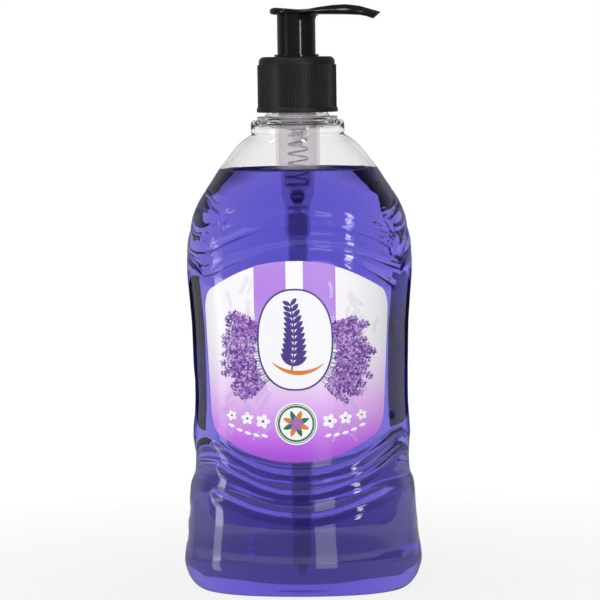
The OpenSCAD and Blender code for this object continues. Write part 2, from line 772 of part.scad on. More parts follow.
module liquid_soap() {
    rings = skin_rings(liquid_inset, floor_seat, liquid_level);
    // The first ring is level with the surface
    surface = [for (j = [0:columns - 1])
        body_point(column_angle(j), liquid_level, liquid_inset)];
    all_rings = concat([surface], rings);
    count = len(all_rings);
    n = count * columns;
    points = concat(flatten(all_rings), [[0, 0, liquid_level], [0, 0, push_up + floor_seat]]);
    color([0.42, 0.36, 0.8, 0.85])
    difference() {
        polyhedron(points, concat(
            band_faces(count, 0, false),
            fan_faces(0, n, true),
            fan_faces((count - 1) * columns, n + 1, false)
        ));
        rotate_extrude() polygon([
            [0, tube_end_z - free_gap],
            [tube_radius + free_gap, tube_end_z - free_gap],
            [tube_radius + free_gap, socket_foot_z - free_gap],
            [socket_radius + free_gap, socket_foot_z - free_gap],
            [socket_radius + free_gap, seat_z - 0.2],
            [inlet_radius + free_gap, seat_z + 2.4],
            [inlet_radius + free_gap, chamber_foot_z - 3.2],
            [housing_radius + free_gap, chamber_foot_z - 0.8],
            [housing_radius + free_gap, liquid_level + 5],
            [0, liquid_level + 5]
        ]);
    }
}

// Label: a film on the body's front, bounded by two arches and tapering sides
label_corner = 0.16;
label_arch = 11;
label_gap = 0.12;
label_columns = 26;
label_rows = 12;
label_top_half = body_a - label_top_inset;
label_bottom_half = body_a - label_bottom_inset;

function label_edge(across, low, side_drop) = low + side_drop * pow(abs(across), 2.2);
function label_point(u, v, lift) =
    let (
        // Corners are rounded by narrowing the rows next to the arches
        near_end = min(v, 1 - v) / label_corner,
        corner = near_end >= 1 ? 1 : 0.9 + 0.1 * sqrt(1 - pow(1 - near_end, 2)),
        half = lerp(label_bottom_half, label_top_half, v) * corner,
        bottom = label_edge(u, label_low_z, label_arch),
        top = label_edge(u, label_crest_z, -label_arch),
        z = lerp(bottom, top, v),
        i = station_index(stations, z),
        a = station_value(stations, i, z, 1) + lift,
        b = station_value(stations, i, z, 2) + lift,
        n = station_value(stations, i, z, 3),
        x = half * u
    )
    [x, -b * pow(1 - pow(abs(x) / a, n), 1 / n), z];

module front_label() {
    across = label_columns + 1;
    sheet = across * (label_rows + 1);
    points = [for (lift = [label_gap, label_gap + label_film]) for (r = [0:label_rows])
        for (c = [0:label_columns])
        label_point(2 * c / label_columns - 1, r / label_rows, lift)];
    skins = [for (side = [0, 1]) for (r = [0:label_rows - 1]) for (c = [0:label_columns - 1])
        for (half = [0, 1])
        let (
            p = side * sheet + r * across + c,
            face = half == 0 ? [p, p + 1, p + across] : [p + 1, p + across + 1, p + across]
        )
        side == 0 ? face : [face[2], face[1], face[0]]];
    rim = concat(
        [for (c = [0:label_columns - 1]) c],
        [for (r = [0:label_rows - 1]) r * across + label_columns],
        [for (c = [label_columns:-1:1]) label_rows * across + c],
        [for (r = [label_rows:-1:1]) r * across]
    );
    walls = [for (i = [0:len(rim) - 1]) for (half = [0, 1])
        let (p = rim[i], q = rim[(i + 1) % len(rim)])
        half == 0 ? [p, sheet + p, q] : [q, sheet + p, sheet + q]];
    color([0.85, 0.6, 0.95]) polyhedron(points, concat(skins, walls), convexity = 4);
}

bottle();
liquid_soap();
front_label();
screw_collar();
lock_collar();
neck_gasket();
pump_housing();
inlet_ball();
return_spring();
dip_tube();
piston();
piston_rod();
stem();
actuator_head();
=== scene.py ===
import math
import random

import bpy
import numpy as np
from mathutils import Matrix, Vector


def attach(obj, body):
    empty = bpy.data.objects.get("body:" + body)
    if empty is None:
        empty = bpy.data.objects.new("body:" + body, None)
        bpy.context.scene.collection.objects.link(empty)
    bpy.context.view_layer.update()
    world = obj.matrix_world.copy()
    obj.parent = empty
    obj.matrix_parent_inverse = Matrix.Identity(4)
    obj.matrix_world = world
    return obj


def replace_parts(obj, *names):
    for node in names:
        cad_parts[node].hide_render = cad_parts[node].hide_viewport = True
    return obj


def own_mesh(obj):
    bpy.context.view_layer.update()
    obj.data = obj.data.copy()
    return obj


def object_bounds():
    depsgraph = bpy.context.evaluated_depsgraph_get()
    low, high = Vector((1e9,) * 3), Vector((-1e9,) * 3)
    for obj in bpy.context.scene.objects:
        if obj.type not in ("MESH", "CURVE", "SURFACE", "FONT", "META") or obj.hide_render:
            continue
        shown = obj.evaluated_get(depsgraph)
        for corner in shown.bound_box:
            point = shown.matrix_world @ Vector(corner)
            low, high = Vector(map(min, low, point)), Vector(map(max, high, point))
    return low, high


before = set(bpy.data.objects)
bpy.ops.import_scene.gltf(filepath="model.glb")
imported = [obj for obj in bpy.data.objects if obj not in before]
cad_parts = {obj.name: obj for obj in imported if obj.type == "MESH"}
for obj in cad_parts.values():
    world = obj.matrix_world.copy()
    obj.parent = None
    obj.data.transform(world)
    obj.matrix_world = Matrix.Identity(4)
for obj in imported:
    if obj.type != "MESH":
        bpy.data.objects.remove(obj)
cad_low, cad_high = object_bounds()
random.seed(7)
MM = 0.001

# Body of the bottle, in millimetres, as in the part's source
FOOT_A, FOOT_B = 49.0, 33.4
BODY_A, BODY_B = 44.2, 31.8
WALL = 0.7
PUSH_UP = 3.6
GROOVE_DEPTH = 1.3
WAVE_DEPTH = 1.4
NECK_FOOT_Z = 187.5
STEP_RADIUS = 19.2
RING_RADIUS = 16.5
NECK_RADIUS = 12.6
NECK_BORE_RADIUS = 10.9
LIP_Z = 213.0
THREAD_PITCH = 4.23
THREAD_TURNS = 1.5
THREAD_HEIGHT = 1.15
FOOT_Z = 12.4
LIQUID_LEVEL = 172.6
LIQUID_BITE = 0.12
SHOULDER_Z = 157.0
# Skins of the wall: share of the relief's depth that the back and the inner skin
# have, how much wider the inner skin's creases are, and the rows' spacing
BACK_SHARE = 0.5
INNER_SHARE = 0.85
INNER_SPREAD = 0.9
FINE = 0.45

# Height, half width, half depth and squareness of the body
STATIONS = np.array([
    [0, FOOT_A - 8.8, FOOT_B - 7.4, 2.3],
    [0.6, FOOT_A - 6.8, FOOT_B - 5.6, 2.35],
    [3, FOOT_A - 3.7, FOOT_B - 2.9, 2.45],
    [7, FOOT_A - 1.3, FOOT_B - 1, 2.5],
    [FOOT_Z, FOOT_A, FOOT_B, 2.5],
    [18, FOOT_A - 0.6, FOOT_B - 0.4, 2.5],
    [26, FOOT_A - 1.5, BODY_B + 1.1, 2.5],
    [38, BODY_A + 2.4, BODY_B + 0.3, 2.5],
    [44, BODY_A + 1.8, BODY_B + 0.1, 2.5],
    [49, BODY_A + 0.3, BODY_B, 2.5],
    [55, BODY_A, BODY_B, 2.5],
    [65, BODY_A + 0.5, BODY_B, 2.5],
    [80, BODY_A - 0.1, BODY_B, 2.5],
    [95, BODY_A, BODY_B, 2.5],
    [109, BODY_A + 0.3, BODY_B, 2.5],
    [119, BODY_A + 1, BODY_B, 2.5],
    [134, BODY_A + 2, BODY_B, 2.5],
    [143, BODY_A + 1.6, BODY_B - 0.1, 2.5],
    [149, BODY_A + 0.4, BODY_B - 0.5, 2.48],
    [154, BODY_A - 0.6, BODY_B - 1, 2.45],
    [159, BODY_A - 2.6, BODY_B - 1.9, 2.4],
    [164, BODY_A - 5.5, BODY_B - 3.3, 2.35],
    [168.6, BODY_A - 8.6, BODY_B - 4.8, 2.3],
    [172.7, BODY_A - 11.2, BODY_B - 6.3, 2.2],
    [176.7, BODY_A - 14.3, BODY_B - 7.9, 2.12],
    [180.8, BODY_A - 17.5, BODY_B - 9.6, 2.08],
    [184.8, STEP_RADIUS + 3.7, STEP_RADIUS + 1.1, 2.04],
    [NECK_FOOT_Z, STEP_RADIUS - 0.4, STEP_RADIUS - 0.4, 2],
])

# Lines that the mesh's rows follow: height at the middle, at the low corner on the
# left and on the right, rise to the tip, height at the side, then the corner's
# angle from the side on the left and on the right
ARCH_A = (154.8, 149.3, 147.5, 6, 159.5, 52, 36)
ARCH_B = (151.6, 140.8, 136.2, 5, 147.2, 44, 27)
ARCH_C = (143, 131, 132.4, 4.5, 138.3, 40, 25)
PANEL = (104, 104, 104, 0, 104, 40, 40)
SMILE_A = (50.2, 61.8, 64.2, 0.3, 63, 48, 34)
SMILE_B = (42.2, 52.1, 55.4, 0.3, 54.4, 52, 34)
SMILE_C = (32.5, 41.7, 41.4, 0.2, 42, 48, 41)
HEM = (19, 20, 20, 0, 20, 40, 40)
TOP_EDGE = (NECK_FOOT_Z,) * 3 + (0, NECK_FOOT_Z, 40, 40)
FLOOR_EDGE = (0,) * 5 + (40, 40)
EDGES = (TOP_EDGE, ARCH_A, ARCH_B, ARCH_C, PANEL, SMILE_A, SMILE_B, SMILE_C, HEM, FLOOR_EDGE)
LAPEL_FLANK = 7

# Creases of the relief as drawn on the front, which the back has turned half
# round: whether sharp at the bottom, then points of distance from the middle,
# height above the floor, depth as a share and reach to each side
CREASES = (
    # Upper arch with its lapels
    (True, (
        (-46, 165, 0.5, 0.6), (-36, 162, 0.55, 0.6), (-33.5, 158.8, 0.6, 0.6),
        (-29.5, 156.8, 0.6, 0.6), (-25.5, 156, 0.6, 0.6), (-27.4, 154.4, 0.6, 0.6),
        (-29.8, 151.6, 0.6, 0.6), (-31, 149.8, 0.65, 0.7), (-29, 149.3, 0.5, 0.7),
        (-22, 151.5, 0.25, 0.8), (-13.5, 153.5, 0.15, 0.8))),
    (False, (
        (-26, 150.4, 0.1, 1.6), (-13.5, 153.8, 0.45, 2), (-5.5, 154.8, 0.5, 2),
        (2.5, 155.4, 0.5, 2), (18.5, 153.2, 0.45, 2), (30.5, 150.2, 0.3, 1.6))),
    (True, (
        (28, 150.8, 0.2, 0.8), (34, 149.3, 0.35, 0.7), (39.3, 147.8, 0.6, 0.6),
        (38.4, 150.4, 0.6, 0.6), (36.4, 152.6, 0.6, 0.6), (39.3, 155, 0.6, 0.6),
        (40.8, 157.6, 0.6, 0.6), (41, 161, 0.5, 0.6), (46, 165, 0.5, 0.6))),
    # Middle arch
    (True, (
        (-47, 149, 0.5, 0.6), (-43, 147.4, 0.55, 0.6), (-40.3, 147, 0.6, 0.6),
        (-36.8, 146, 0.6, 0.6), (-36.4, 143.2, 0.6, 0.6), (-35.6, 140.9, 0.7, 0.8),
        (-33.4, 142, 0.8, 1.1), (-28, 144.8, 0.85, 1.3), (-22, 147.2, 0.75, 1.2),
        (-13.5, 150, 0.5, 0.9), (-3.5, 151.6, 0.4, 0.8), (6.5, 152.2, 0.5, 0.8),
        (14.5, 151.4, 0.6, 0.8), (22.5, 149.9, 0.65, 0.9), (30.5, 147.2, 0.7, 0.9),
        (38.6, 142.6, 0.6, 0.7), (38.9, 139.4, 0.6, 0.6), (42, 136.6, 0.6, 0.6),
        (43.2, 140, 0.6, 0.6), (44.3, 145, 0.55, 0.6), (47, 149, 0.5, 0.6))),
    (False, (
        (-24, 147, 0, 1.6), (-13.5, 150.6, 0.3, 2), (0, 152.4, 0.4, 2), (13, 152, 0.35, 2),
        (30, 147.8, 0.25, 1.8), (38, 143, 0, 1.6))),
    # Ridge line between the middle arch and the lower one
    (True, (
        (-33, 139.6, 0.2, 0.7), (-25, 142.6, 0.35, 0.7), (-14, 146, 0.3, 0.7),
        (0, 147.6, 0.2, 0.8), (14, 147.4, 0.2, 0.8), (26, 145, 0.3, 0.7), (37, 139.6, 0.3, 0.7))),
    # Lower arch
    (True, (
        (-47, 139.5, 0.5, 0.6), (-43.5, 136.4, 0.55, 0.6), (-40.8, 134.6, 0.6, 0.6),
        (-38, 131.2, 0.7, 0.8), (-34, 132.2, 0.85, 1.2), (-28.5, 135.2, 0.9, 1.4),
        (-22, 137.6, 0.85, 1.3), (-9.5, 141.7, 0.6, 1.1), (0.5, 143, 0.5, 1),
        (11.5, 142.9, 0.6, 1), (22.5, 141.2, 0.75, 1), (30.5, 138, 0.75, 1),
        (38, 135, 0.7, 0.8), (42.6, 133, 0.7, 0.7), (44.2, 137, 0.55, 0.6),
        (47, 140.5, 0.5, 0.6))),
    (False, (
        (-34, 130.8, 0.1, 1.8), (-22, 136.2, 0.4, 2.2), (-9.5, 140.4, 0.45, 2.2),
        (0.5, 141.6, 0.45, 2.2), (11.5, 141.4, 0.5, 2.2), (22.5, 139.4, 0.5, 2.2),
        (34, 134.6, 0.2, 2))),
    # Crease under the lower arch at the right
    (False, (
        (11.5, 140.8, 0, 1), (22.5, 138, 0.4, 1.1), (30.5, 133.6, 0.5, 1.1),
        (38.5, 127.8, 0.4, 1), (40.5, 126.5, 0, 0.8))),
    # Channels below the label
    (False, (
        (-35, 64.5, 0, 1.6), (-32, 62.2, 0.65, 1.25), (-25.5, 57.5, 0.75, 1.3),
        (-17, 53.5, 0.75, 1.3), (-9, 51.2, 0.75, 1.3), (1, 50.2, 0.75, 1.3),
        (9.5, 51, 0.75, 1.3), (17.5, 52.8, 0.75, 1.3), (25.5, 55.8, 0.7, 1.3),
        (32.5, 60, 0.6, 1.6), (38.5, 64.8, 0.5, 1.3), (41.5, 66.2, 0.4, 1),
        (44, 63.5, 0, 0.8))),
    (False, (
        (-33, 53.8, 0, 1.6), (-30.5, 52.2, 0.65, 1.25), (-23.5, 48.5, 0.8, 1.3),
        (-15, 44.8, 0.8, 1.3), (-7, 42.7, 0.8, 1.3), (1, 42.2, 0.8, 1.3),
        (9, 43, 0.8, 1.3), (17, 44.8, 0.8, 1.3), (25, 47.4, 0.75, 1.3),
        (33, 51.5, 0.65, 1.6), (38.5, 56.2, 0.5, 1.3), (41.5, 58.5, 0.4, 1),
        (44, 56, 0, 0.8))),
    (False, (
        (-36, 43, 0, 1.25), (-33.5, 41.6, 0.7, 1.5), (-25.5, 38.4, 0.9, 1.6),
        (-17.5, 35.4, 0.9, 1.6), (-9, 33.6, 0.9, 1.6), (1, 32.6, 0.9, 1.6),
        (9, 33, 0.9, 1.6), (17, 34.6, 0.9, 1.6), (23, 36.6, 0.8, 1.6),
        (31, 39.5, 0.5, 2), (37, 41.6, 0.25, 2), (41, 43.5, 0, 1.6))),
    # Fine line between the first two channels
    (True, (
        (-22, 51.4, 0, 0.6), (-14, 48.4, 0.2, 0.6), (1, 46.4, 0.25, 0.6), (12, 47.3, 0.3, 0.6),
        (21.5, 49.6, 0.3, 0.6), (31.5, 54.8, 0.3, 0.6), (39.5, 60.5, 0.2, 0.6))),
)
# Height, depth as a share, reach
WAVES = ((80.4, 1, 8), (54.2, 0.8, 5), (33.2, 0.75, 2), (22.4, 0.6, 2))
WAVE_REACH_DEG = 26


# Body geometry

def ease(share):
    s = np.clip(share, 0, 1)
    return s * s * (3 - 2 * s)


def bell(distance, reach):
    return np.exp(-(distance / reach) ** 2)


def station_slopes(k):
    """Slopes of one station column, limited so that the curve never overshoots."""
    z, v = STATIONS[:, 0], STATIONS[:, k]
    chord = np.diff(v) / np.diff(z)
    before, after = chord[:-1], chord[1:]
    total = np.where(before + after == 0, 1, before + after)
    inner = np.where(before * after <= 0, 0, 2 * before * after / total)
    return np.concatenate(([chord[0]], inner, [chord[-1]]))


SLOPES = {k: station_slopes(k) for k in (1, 2, 3)}


def station_value(z, k):
    """Smooth value of a station column at heights z."""
    z = np.asarray(z, float)
    heights = STATIONS[:, 0]
    i = np.clip(np.searchsorted(heights, z, side="right") - 1, 0, len(heights) - 2)
    span = heights[i + 1] - heights[i]
    s = np.clip((z - heights[i]) / span, 0, 1)
    m0, m1 = SLOPES[k][i] * span, SLOPES[k][i + 1] * span
    v0, v1 = STATIONS[i, k], STATIONS[i + 1, k]
    return ((2 * s**3 - 3 * s**2 + 1) * v0 + (s**3 - 2 * s**2 + s) * m0
            + (3 * s**2 - 2 * s**3) * v1 + (s**3 - s**2) * m1)


def side_angle(t):
    """Outline angle counted from the nearer side: 0 at a side, 90 at the middle."""
    m = np.mod(t, 180)
    return np.where(m > 90, 180 - m, m)


def is_left(t):
    """The front's left half, or the back's right half."""
    return np.mod(t, 180) < 90


def edge_z(edge, t):
    """Height of a line of the relief at outline angles t."""
    s = side_angle(t)
    corner = np.where(is_left(t), edge[5], edge[6])
    low = np.where(is_left(t), edge[1], edge[2])
    tip = corner - LAPEL_FLANK
    x_share = (np.cos(np.radians(s)) / np.cos(np.radians(corner))) ** 1.6
    arch = edge[0] + (low - edge[0]) * x_share
    flank = low + edge[3] * (1 - (s - tip) / LAPEL_FLANK)
    lapel = edge[4] + (low + edge[3] - edge[4]) * ease(s / tip)
    return np.where(s >= corner, arch, np.where(s >= tip, flank, lapel))


def outline_lengths():
    """Angles from the side and the outline's length from there to the middle."""
    angles = np.linspace(0, 90, 1801)
    c, s = np.cos(np.radians(angles)), np.sin(np.radians(angles))
    x, y = 45.5 * np.abs(c) ** 0.8, BODY_B * np.abs(s) ** 0.8
    steps = np.hypot(np.diff(x), np.diff(y))
    return angles, np.concatenate((np.cumsum(steps[::-1])[::-1], [0]))


OUTLINE_ANGLES, OUTLINE_LENGTHS = outline_lengths()


def unrolled(t):
    """Length along the outline from the middle, negative on the left."""
    length = np.interp(side_angle(t), OUTLINE_ANGLES, OUTLINE_LENGTHS)
    return np.where(is_left(t), -length, length)


def unrolled_point(x, z):
    """Length along the outline to a front-view place."""
    share = np.clip(abs(x) / station_value(z, 1), 0, 1)
    angle = np.degrees(np.arccos(share ** (station_value(z, 3) / 2)))
    return math.copysign(float(np.interp(angle, OUTLINE_ANGLES, OUTLINE_LENGTHS)), x)


def crease_depth(crease, u, z, spread):
    """Depth share that a crease gives at unrolled places."""
    sharp, points = crease
    places = [(unrolled_point(x, h), h, depth, reach) for x, h, depth, reach in points]
    best = np.zeros_like(z)
    for (u0, z0, k0, w0), (u1, z1, k1, w1) in zip(places, places[1:]):
        du, dz = u1 - u0, z1 - z0
        along = np.clip(((u - u0) * du + (z - z0) * dz) / (du * du + dz * dz), 0, 1)
        reach = 1.6 * (w0 + (w1 - w0) * along) + spread
        r = np.hypot(u - u0 - along * du, z - z0 - along * dz) / reach
        inside = np.clip(1 - r, 0, 1) if sharp and not spread else np.clip(1 - r * r, 0, 1)
        shape = inside ** (1.9 if sharp and not spread else 2)
        best = np.maximum(best, (k0 + (k1 - k0) * along) * shape)
    return best


def relief(t, z, spread=0.0):
    """Depth of the relief; spread widens the creases, as on the wall's inside."""
    u = unrolled(t)
    arches = np.zeros_like(z)
    for crease in CREASES:
        arches = np.maximum(arches, GROOVE_DEPTH * crease_depth(crease, u, z, spread))
    arches *= 1 - (1 - BACK_SHARE) * np.clip(3 * np.sin(np.radians(t)), 0, 1)
    side = np.where(is_left(t), ease(1 - side_angle(t) / WAVE_REACH_DEG), 0)
    swells = np.zeros_like(z)
    for height, share, reach in WAVES:
        swells = np.maximum(swells, WAVE_DEPTH * share * side * bell(z - height, reach))
    return arches * (INNER_SHARE if spread else 1) + swells


def body_points(t, z, sunk):
    """Points of the body's outline at angles t and heights z, sunk by a depth."""
    a = station_value(z, 1) - sunk
    b = station_value(z, 2) - sunk
    power = 2 / station_value(z, 3)
    c, s = np.cos(np.radians(t)), np.sin(np.radians(t))
    x = a * np.sign(c) * np.abs(c) ** power
    y = b * np.sign(s) * np.abs(s) ** power
    return np.stack([x, y, z], axis=-1)


def front_y(x, z, lift=0.0):
    """Depth coordinate of the plain front at a place, in millimetres."""
    a = station_value(z, 1) + lift
    b = station_value(z, 2) + lift
    n = station_value(z, 3)
    return -b * (1 - np.clip(np.abs(x) / a, 0, 1) ** n) ** (1 / n)


def skin_grid(columns, rows, inset, floor_z, top=None, spread=0.0):
    """Rings of a body skin, from the top down to the middle of the floor."""
    t = np.arange(columns) * 360 / columns
    rings = []
    share = np.array([edge[0] for edge in EDGES], float)
    for z_mid in rows:
        band = int(np.clip(np.searchsorted(-share, -z_mid, side="right") - 1, 0, len(EDGES) - 2))
        step = (share[band] - z_mid) / (share[band] - share[band + 1])
        z = edge_z(EDGES[band], t) * (1 - step) + edge_z(EDGES[band + 1], t) * step
        if top is not None:
            z = np.minimum(z, top)
        points = body_points(t, z, relief(t, z, spread) + inset)
        points[:, 2] += floor_z * ease(1 - z / FOOT_Z)
        rings.append(points)
    for size, rise in ((0.95, 0.1), (0.9, 0.25), (0.8, 0.5), (0.7, 0.72), (0.52, 0.87),
                       (0.35, 0.95), (0.15, 0.99)):
        points = body_points(t, np.zeros(columns), np.full(columns, inset))
        points[:, :2] *= size
        points[:, 2] = PUSH_UP * rise + floor_z
        rings.append(points)
    return rings


def row_levels(fine, coarse):
    """Heights of the mesh's rows: fine where the relief and the foot are."""
    spans = ((NECK_FOOT_Z, 166, coarse), (166, 126, fine), (126, 66, coarse * 1.5),
             (66, 28, fine * 1.2), (28, 8, coarse), (8, 0, fine))
    levels = []
    for high, low, gap in spans:
        count = max(2, round((high - low) / gap))
        levels += list(np.linspace(high, low, count, endpoint=False))
    return levels + [0.25, 0.0]


# Mesh helpers

def make_object(name, points, faces, materials=(), smooth=True):
    mesh = bpy.data.meshes.new(name)
    mesh.from_pydata([tuple(p) for p in points], [], [tuple(f) for f in faces])
    mesh.validate()
    mesh.update()
    for polygon in mesh.polygons:
        polygon.use_smooth = smooth
    obj = bpy.data.objects.new(name, mesh)
    bpy.context.scene.collection.objects.link(obj)
    for material in materials:
        mesh.materials.append(material)
    return obj


def band_faces(count, columns, first=0, inward=False, closed=True):
    faces = []
    for i in range(count - 1):
        for j in range(columns if closed else columns - 1):
            k = (j + 1) % columns
            p = first + i * columns
            face = (p + j, p + columns + j, p + columns + k, p + k)
            faces.append(face[::-1] if inward else face)
    return faces


def fan_faces(first, columns, centre, up=False):
    faces = []
    for j in range(columns):
        k = (j + 1) % columns
        faces.append((first + j, first + k, centre) if up else (first + k, first + j, centre))
    return faces


def ring_points(radius, z, columns):
    t = np.arange(columns) * 2 * math.pi / columns
    return np.stack([radius * np.cos(t), radius * np.sin(t), np.full(columns, z)], axis=-1)


def lathe(name, profile, columns, material, body, sharp_deg=35, smooth=True):
    """Closed ring turned from a profile of (radius, height) in millimetres."""
    rings = [ring_points(r, z, columns) for r, z in profile]
    points = np.concatenate(rings) * MM
    count = len(profile)
    faces = []
    for i in range(count):
        for j in range(columns):
            k = (j + 1) % columns
            a, b = i * columns, ((i + 1) % count) * columns
            faces.append((a + j, a + k, b + k, b + j))
    obj = make_object(name, points, faces, (material,), smooth)
    soften(obj, sharp_deg)
    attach(obj, body)
    return obj


def soften(obj, sharp_deg):
    """Smooth shading that keeps edges sharper than an angle."""
    obj.data.set_sharp_from_angle(angle=math.radians(sharp_deg))


# Materials

def new_material(name):
    material = bpy.data.materials.new(name)
    material.use_nodes = True
    tree = material.node_tree
    tree.nodes.clear()
    out = new_node(tree, "OutputMaterial")
    return material, tree, out


def new_node(tree, kind, operation=None, **values):
    """A shader node with the given operation and values of its inputs."""
    node = tree.nodes.new("ShaderNode" + kind)
    if operation:
        node.operation = operation
    for key, value in values.items():
        node.inputs[key.replace("_", " ")].default_value = value
    return node


def link(tree, source, output, target, socket):
    tree.links.new(source.outputs[output], target.inputs[socket])


def noise_ramp(tree, scale, low, high, detail=3.0):
    """A colour that drifts between two close tones along a fine noise."""
    coordinates = new_node(tree, "TexCoord")
    noise = new_node(tree, "TexNoise", Scale=scale, Detail=detail)
    ramp = new_node(tree, "ValToRGB")
    ramp.color_ramp.elements[0].color = (*low, 1)
    ramp.color_ramp.elements[1].color = (*high, 1)
    link(tree, coordinates, "Object", noise, "Vector")
    link(tree, noise, "Fac", ramp, "Fac")
    return ramp


def plastic(name, low, high, roughness, coat=0.0, bump=0.0, bump_scale=900):
    material, tree, out = new_material(name)
    shader = new_node(tree, "BsdfPrincipled", Roughness=roughness, Coat_Weight=coat,
                      Coat_Roughness=0.08, Specular_IOR_Level=0.5)
    ramp = noise_ramp(tree, 60, low, high)
    link(tree, ramp, "Color", shader, "Base Color")
    if bump:
        grain = new_node(tree, "TexNoise", Scale=bump_scale)
        bump_node = new_node(tree, "Bump", Strength=bump, Distance=0.0001)
        link(tree, grain, "Fac", bump_node, "Height")
        link(tree, bump_node, "Normal", shader, "Normal")
    link(tree, shader, "BSDF", out, "Surface")
    return material


def shadow_passes(tree, out, shader, colour):
    """Lets lamps' light through a clear shader, tinted by a colour."""
    path = new_node(tree, "LightPath")
    clear = new_node(tree, "BsdfTransparent", Color=(*colour, 1))
    mix = new_node(tree, "MixShader")
    link(tree, path, "Is Shadow Ray", mix, "Fac")
    link(tree, shader, "BSDF", mix, 1)
    link(tree, clear, "BSDF", mix, 2)
    link(tree, mix, "Shader", out, "Surface")


def clear_material(name, ior, tint, pass_tint):
    material, tree, out = new_material(name)
    glass = new_node(tree, "BsdfGlass", IOR=ior, Roughness=0.0, Color=(*tint, 1))
    shadow_passes(tree, out, glass, pass_tint)
    return material, tree, out


def liquid_material():
    material, tree, out = clear_material(
        "violet_liquid", 1.34, (1, 1, 1), (0.45, 0.4, 0.8))
    volume = new_node(tree, "VolumeAbsorption", Color=(0.2, 0.11, 0.86, 1),
                      Density=LIQUID_DENSITY)
    link(tree, volume, "Volume", out, "Volume")
    return material


def natural_plastic(name, clear_share, tone, clear_in_liquid, shade_tone_in_liquid):
    """Milky translucent plastic, part clear and part scattering, with painted shade that darkens
    its tone below the liquid line.
    """
    material, tree, out = new_material(name)
    clear = new_node(tree, "BsdfTransparent")
    clear_by_height = height_ramp(tree, ((165, clear_in_liquid), (172, clear_in_liquid), (173.2, (0.96, 0.95, 0.96))))
    link(tree, clear_by_height, "Color", clear, "Color")
    shader = new_node(tree, "BsdfPrincipled", Roughness=0.35)
    ramp = noise_ramp(tree, 80, [c * 0.96 for c in tone], tone)
    # Painted shade: below the liquid line the tone is multiplied by a darker colour
    painted_shade = height_ramp(tree, ((165, shade_tone_in_liquid), (172, shade_tone_in_liquid), (173.2, (1, 1, 1))))
    milk_tone = new_node(tree, "VectorMath", operation="MULTIPLY")
    link(tree, ramp, "Color", milk_tone, 0)
    link(tree, painted_shade, "Color", milk_tone, 1)
    link(tree, milk_tone, "Vector", shader, "Base Color")
    glow = new_node(tree, "BsdfTranslucent")
    link(tree, milk_tone, "Vector", glow, "Color")
    milk = new_node(tree, "MixShader", Fac=0.5)
    link(tree, shader, "BSDF", milk, 1)
    link(tree, glow, "BSDF", milk, 2)
    mix = new_node(tree, "MixShader", Fac=1 - clear_share)
    link(tree, clear, "BSDF", mix, 1)
    link(tree, milk, "Shader", mix, 2)
    link(tree, mix, "Shader", out, "Surface")
    return material


def steel_material():
    material, tree, out = new_material("bright_steel")
    shader = new_node(tree, "BsdfPrincipled", Metallic=1.0, Roughness=0.25)
    ramp = noise_ramp(tree, 200, (0.5, 0.5, 0.52), (0.62, 0.62, 0.64))
    link(tree, ramp, "Color", shader, "Base Color")
    link(tree, shader, "BSDF", out, "Surface")
    return material


LABEL_STOPS = (
    (55.8, (0.36, 0.085, 0.66)),
    (60, (0.44, 0.11, 0.72)),
    (66, (0.56, 0.18, 0.8)),
    (77, (0.72, 0.41, 0.86)),
    (86, (0.82, 0.62, 0.9)),
    (97, (0.9, 0.82, 0.94)),
    (108, (0.94, 0.92, 0.96)),
    (137, (0.95, 0.94, 0.96)),
)


def colour_ramp(tree, stops):
    """A ramp with stops of (place, colour)."""
    ramp = new_node(tree, "ValToRGB")
    elements = ramp.color_ramp.elements
    while len(elements) < len(stops):
        elements.new(0.5)
    for element, (place, colour) in zip(elements, stops):
        element.position = place
        element.color = (*colour, 1)
    return ramp


def height_ramp(tree, stops):
    """A colour ramp along the height, from stops of (millimetres, colour)."""
    coordinates = new_node(tree, "TexCoord")
    split = new_node(tree, "SeparateXYZ")
    low, high = stops[0][0], stops[-1][0]
    span = new_node(tree, "MapRange", From_Min=low * MM, From_Max=high * MM)
    ramp = colour_ramp(tree, [((z - low) / (high - low), colour) for z, colour in stops])
    link(tree, coordinates, "Object", split, "Vector")
    link(tree, split, "Z", span, "Value")
    link(tree, span, "Result", ramp, "Fac")
    return ramp


def print_material(name, stops):
    material, tree, out = new_material(name)
    shader = new_node(tree, "BsdfPrincipled", Roughness=0.28, Coat_Weight=0.25,
                      Coat_Roughness=0.1)
    ramp = height_ramp(tree, stops)
    link(tree, ramp, "Color", shader, "Base Color")
    link(tree, shader, "BSDF", out, "Surface")
    return material


LIQUID_DENSITY = 42.0

pet = clear_material("clear_pet", 1.5, (1.0, 0.994, 0.993), (0.95, 0.95, 0.96))[0]
liquid = liquid_material()
# Each part's last colour is painted shade, multiplied into its tone below the liquid line
natural = natural_plastic("natural_pp", 0.82, (0.93, 0.92, 0.93), (0.97, 0.97, 0.98),
                          (0.2, 0.2, 0.36))
tube_plastic = natural_plastic("tube_pp", 0.82, (0.8, 0.8, 0.82), (0.96, 0.96, 0.97),
                               (0.3, 0.3, 0.4))
seal_white = plastic("white_seal", (0.78, 0.78, 0.78), (0.84, 0.84, 0.84), 0.4)
steel = steel_material()
black_gloss = plastic("black_gloss", (0.008, 0.008, 0.009), (0.012, 0.012, 0.013), 0.16, coat=0.4)
black_satin = plastic("black_satin", (0.014, 0.014, 0.016), (0.02, 0.02, 0.022), 0.36, bump=0.1)
label_film = print_material("label_film", LABEL_STOPS)


# Bottle

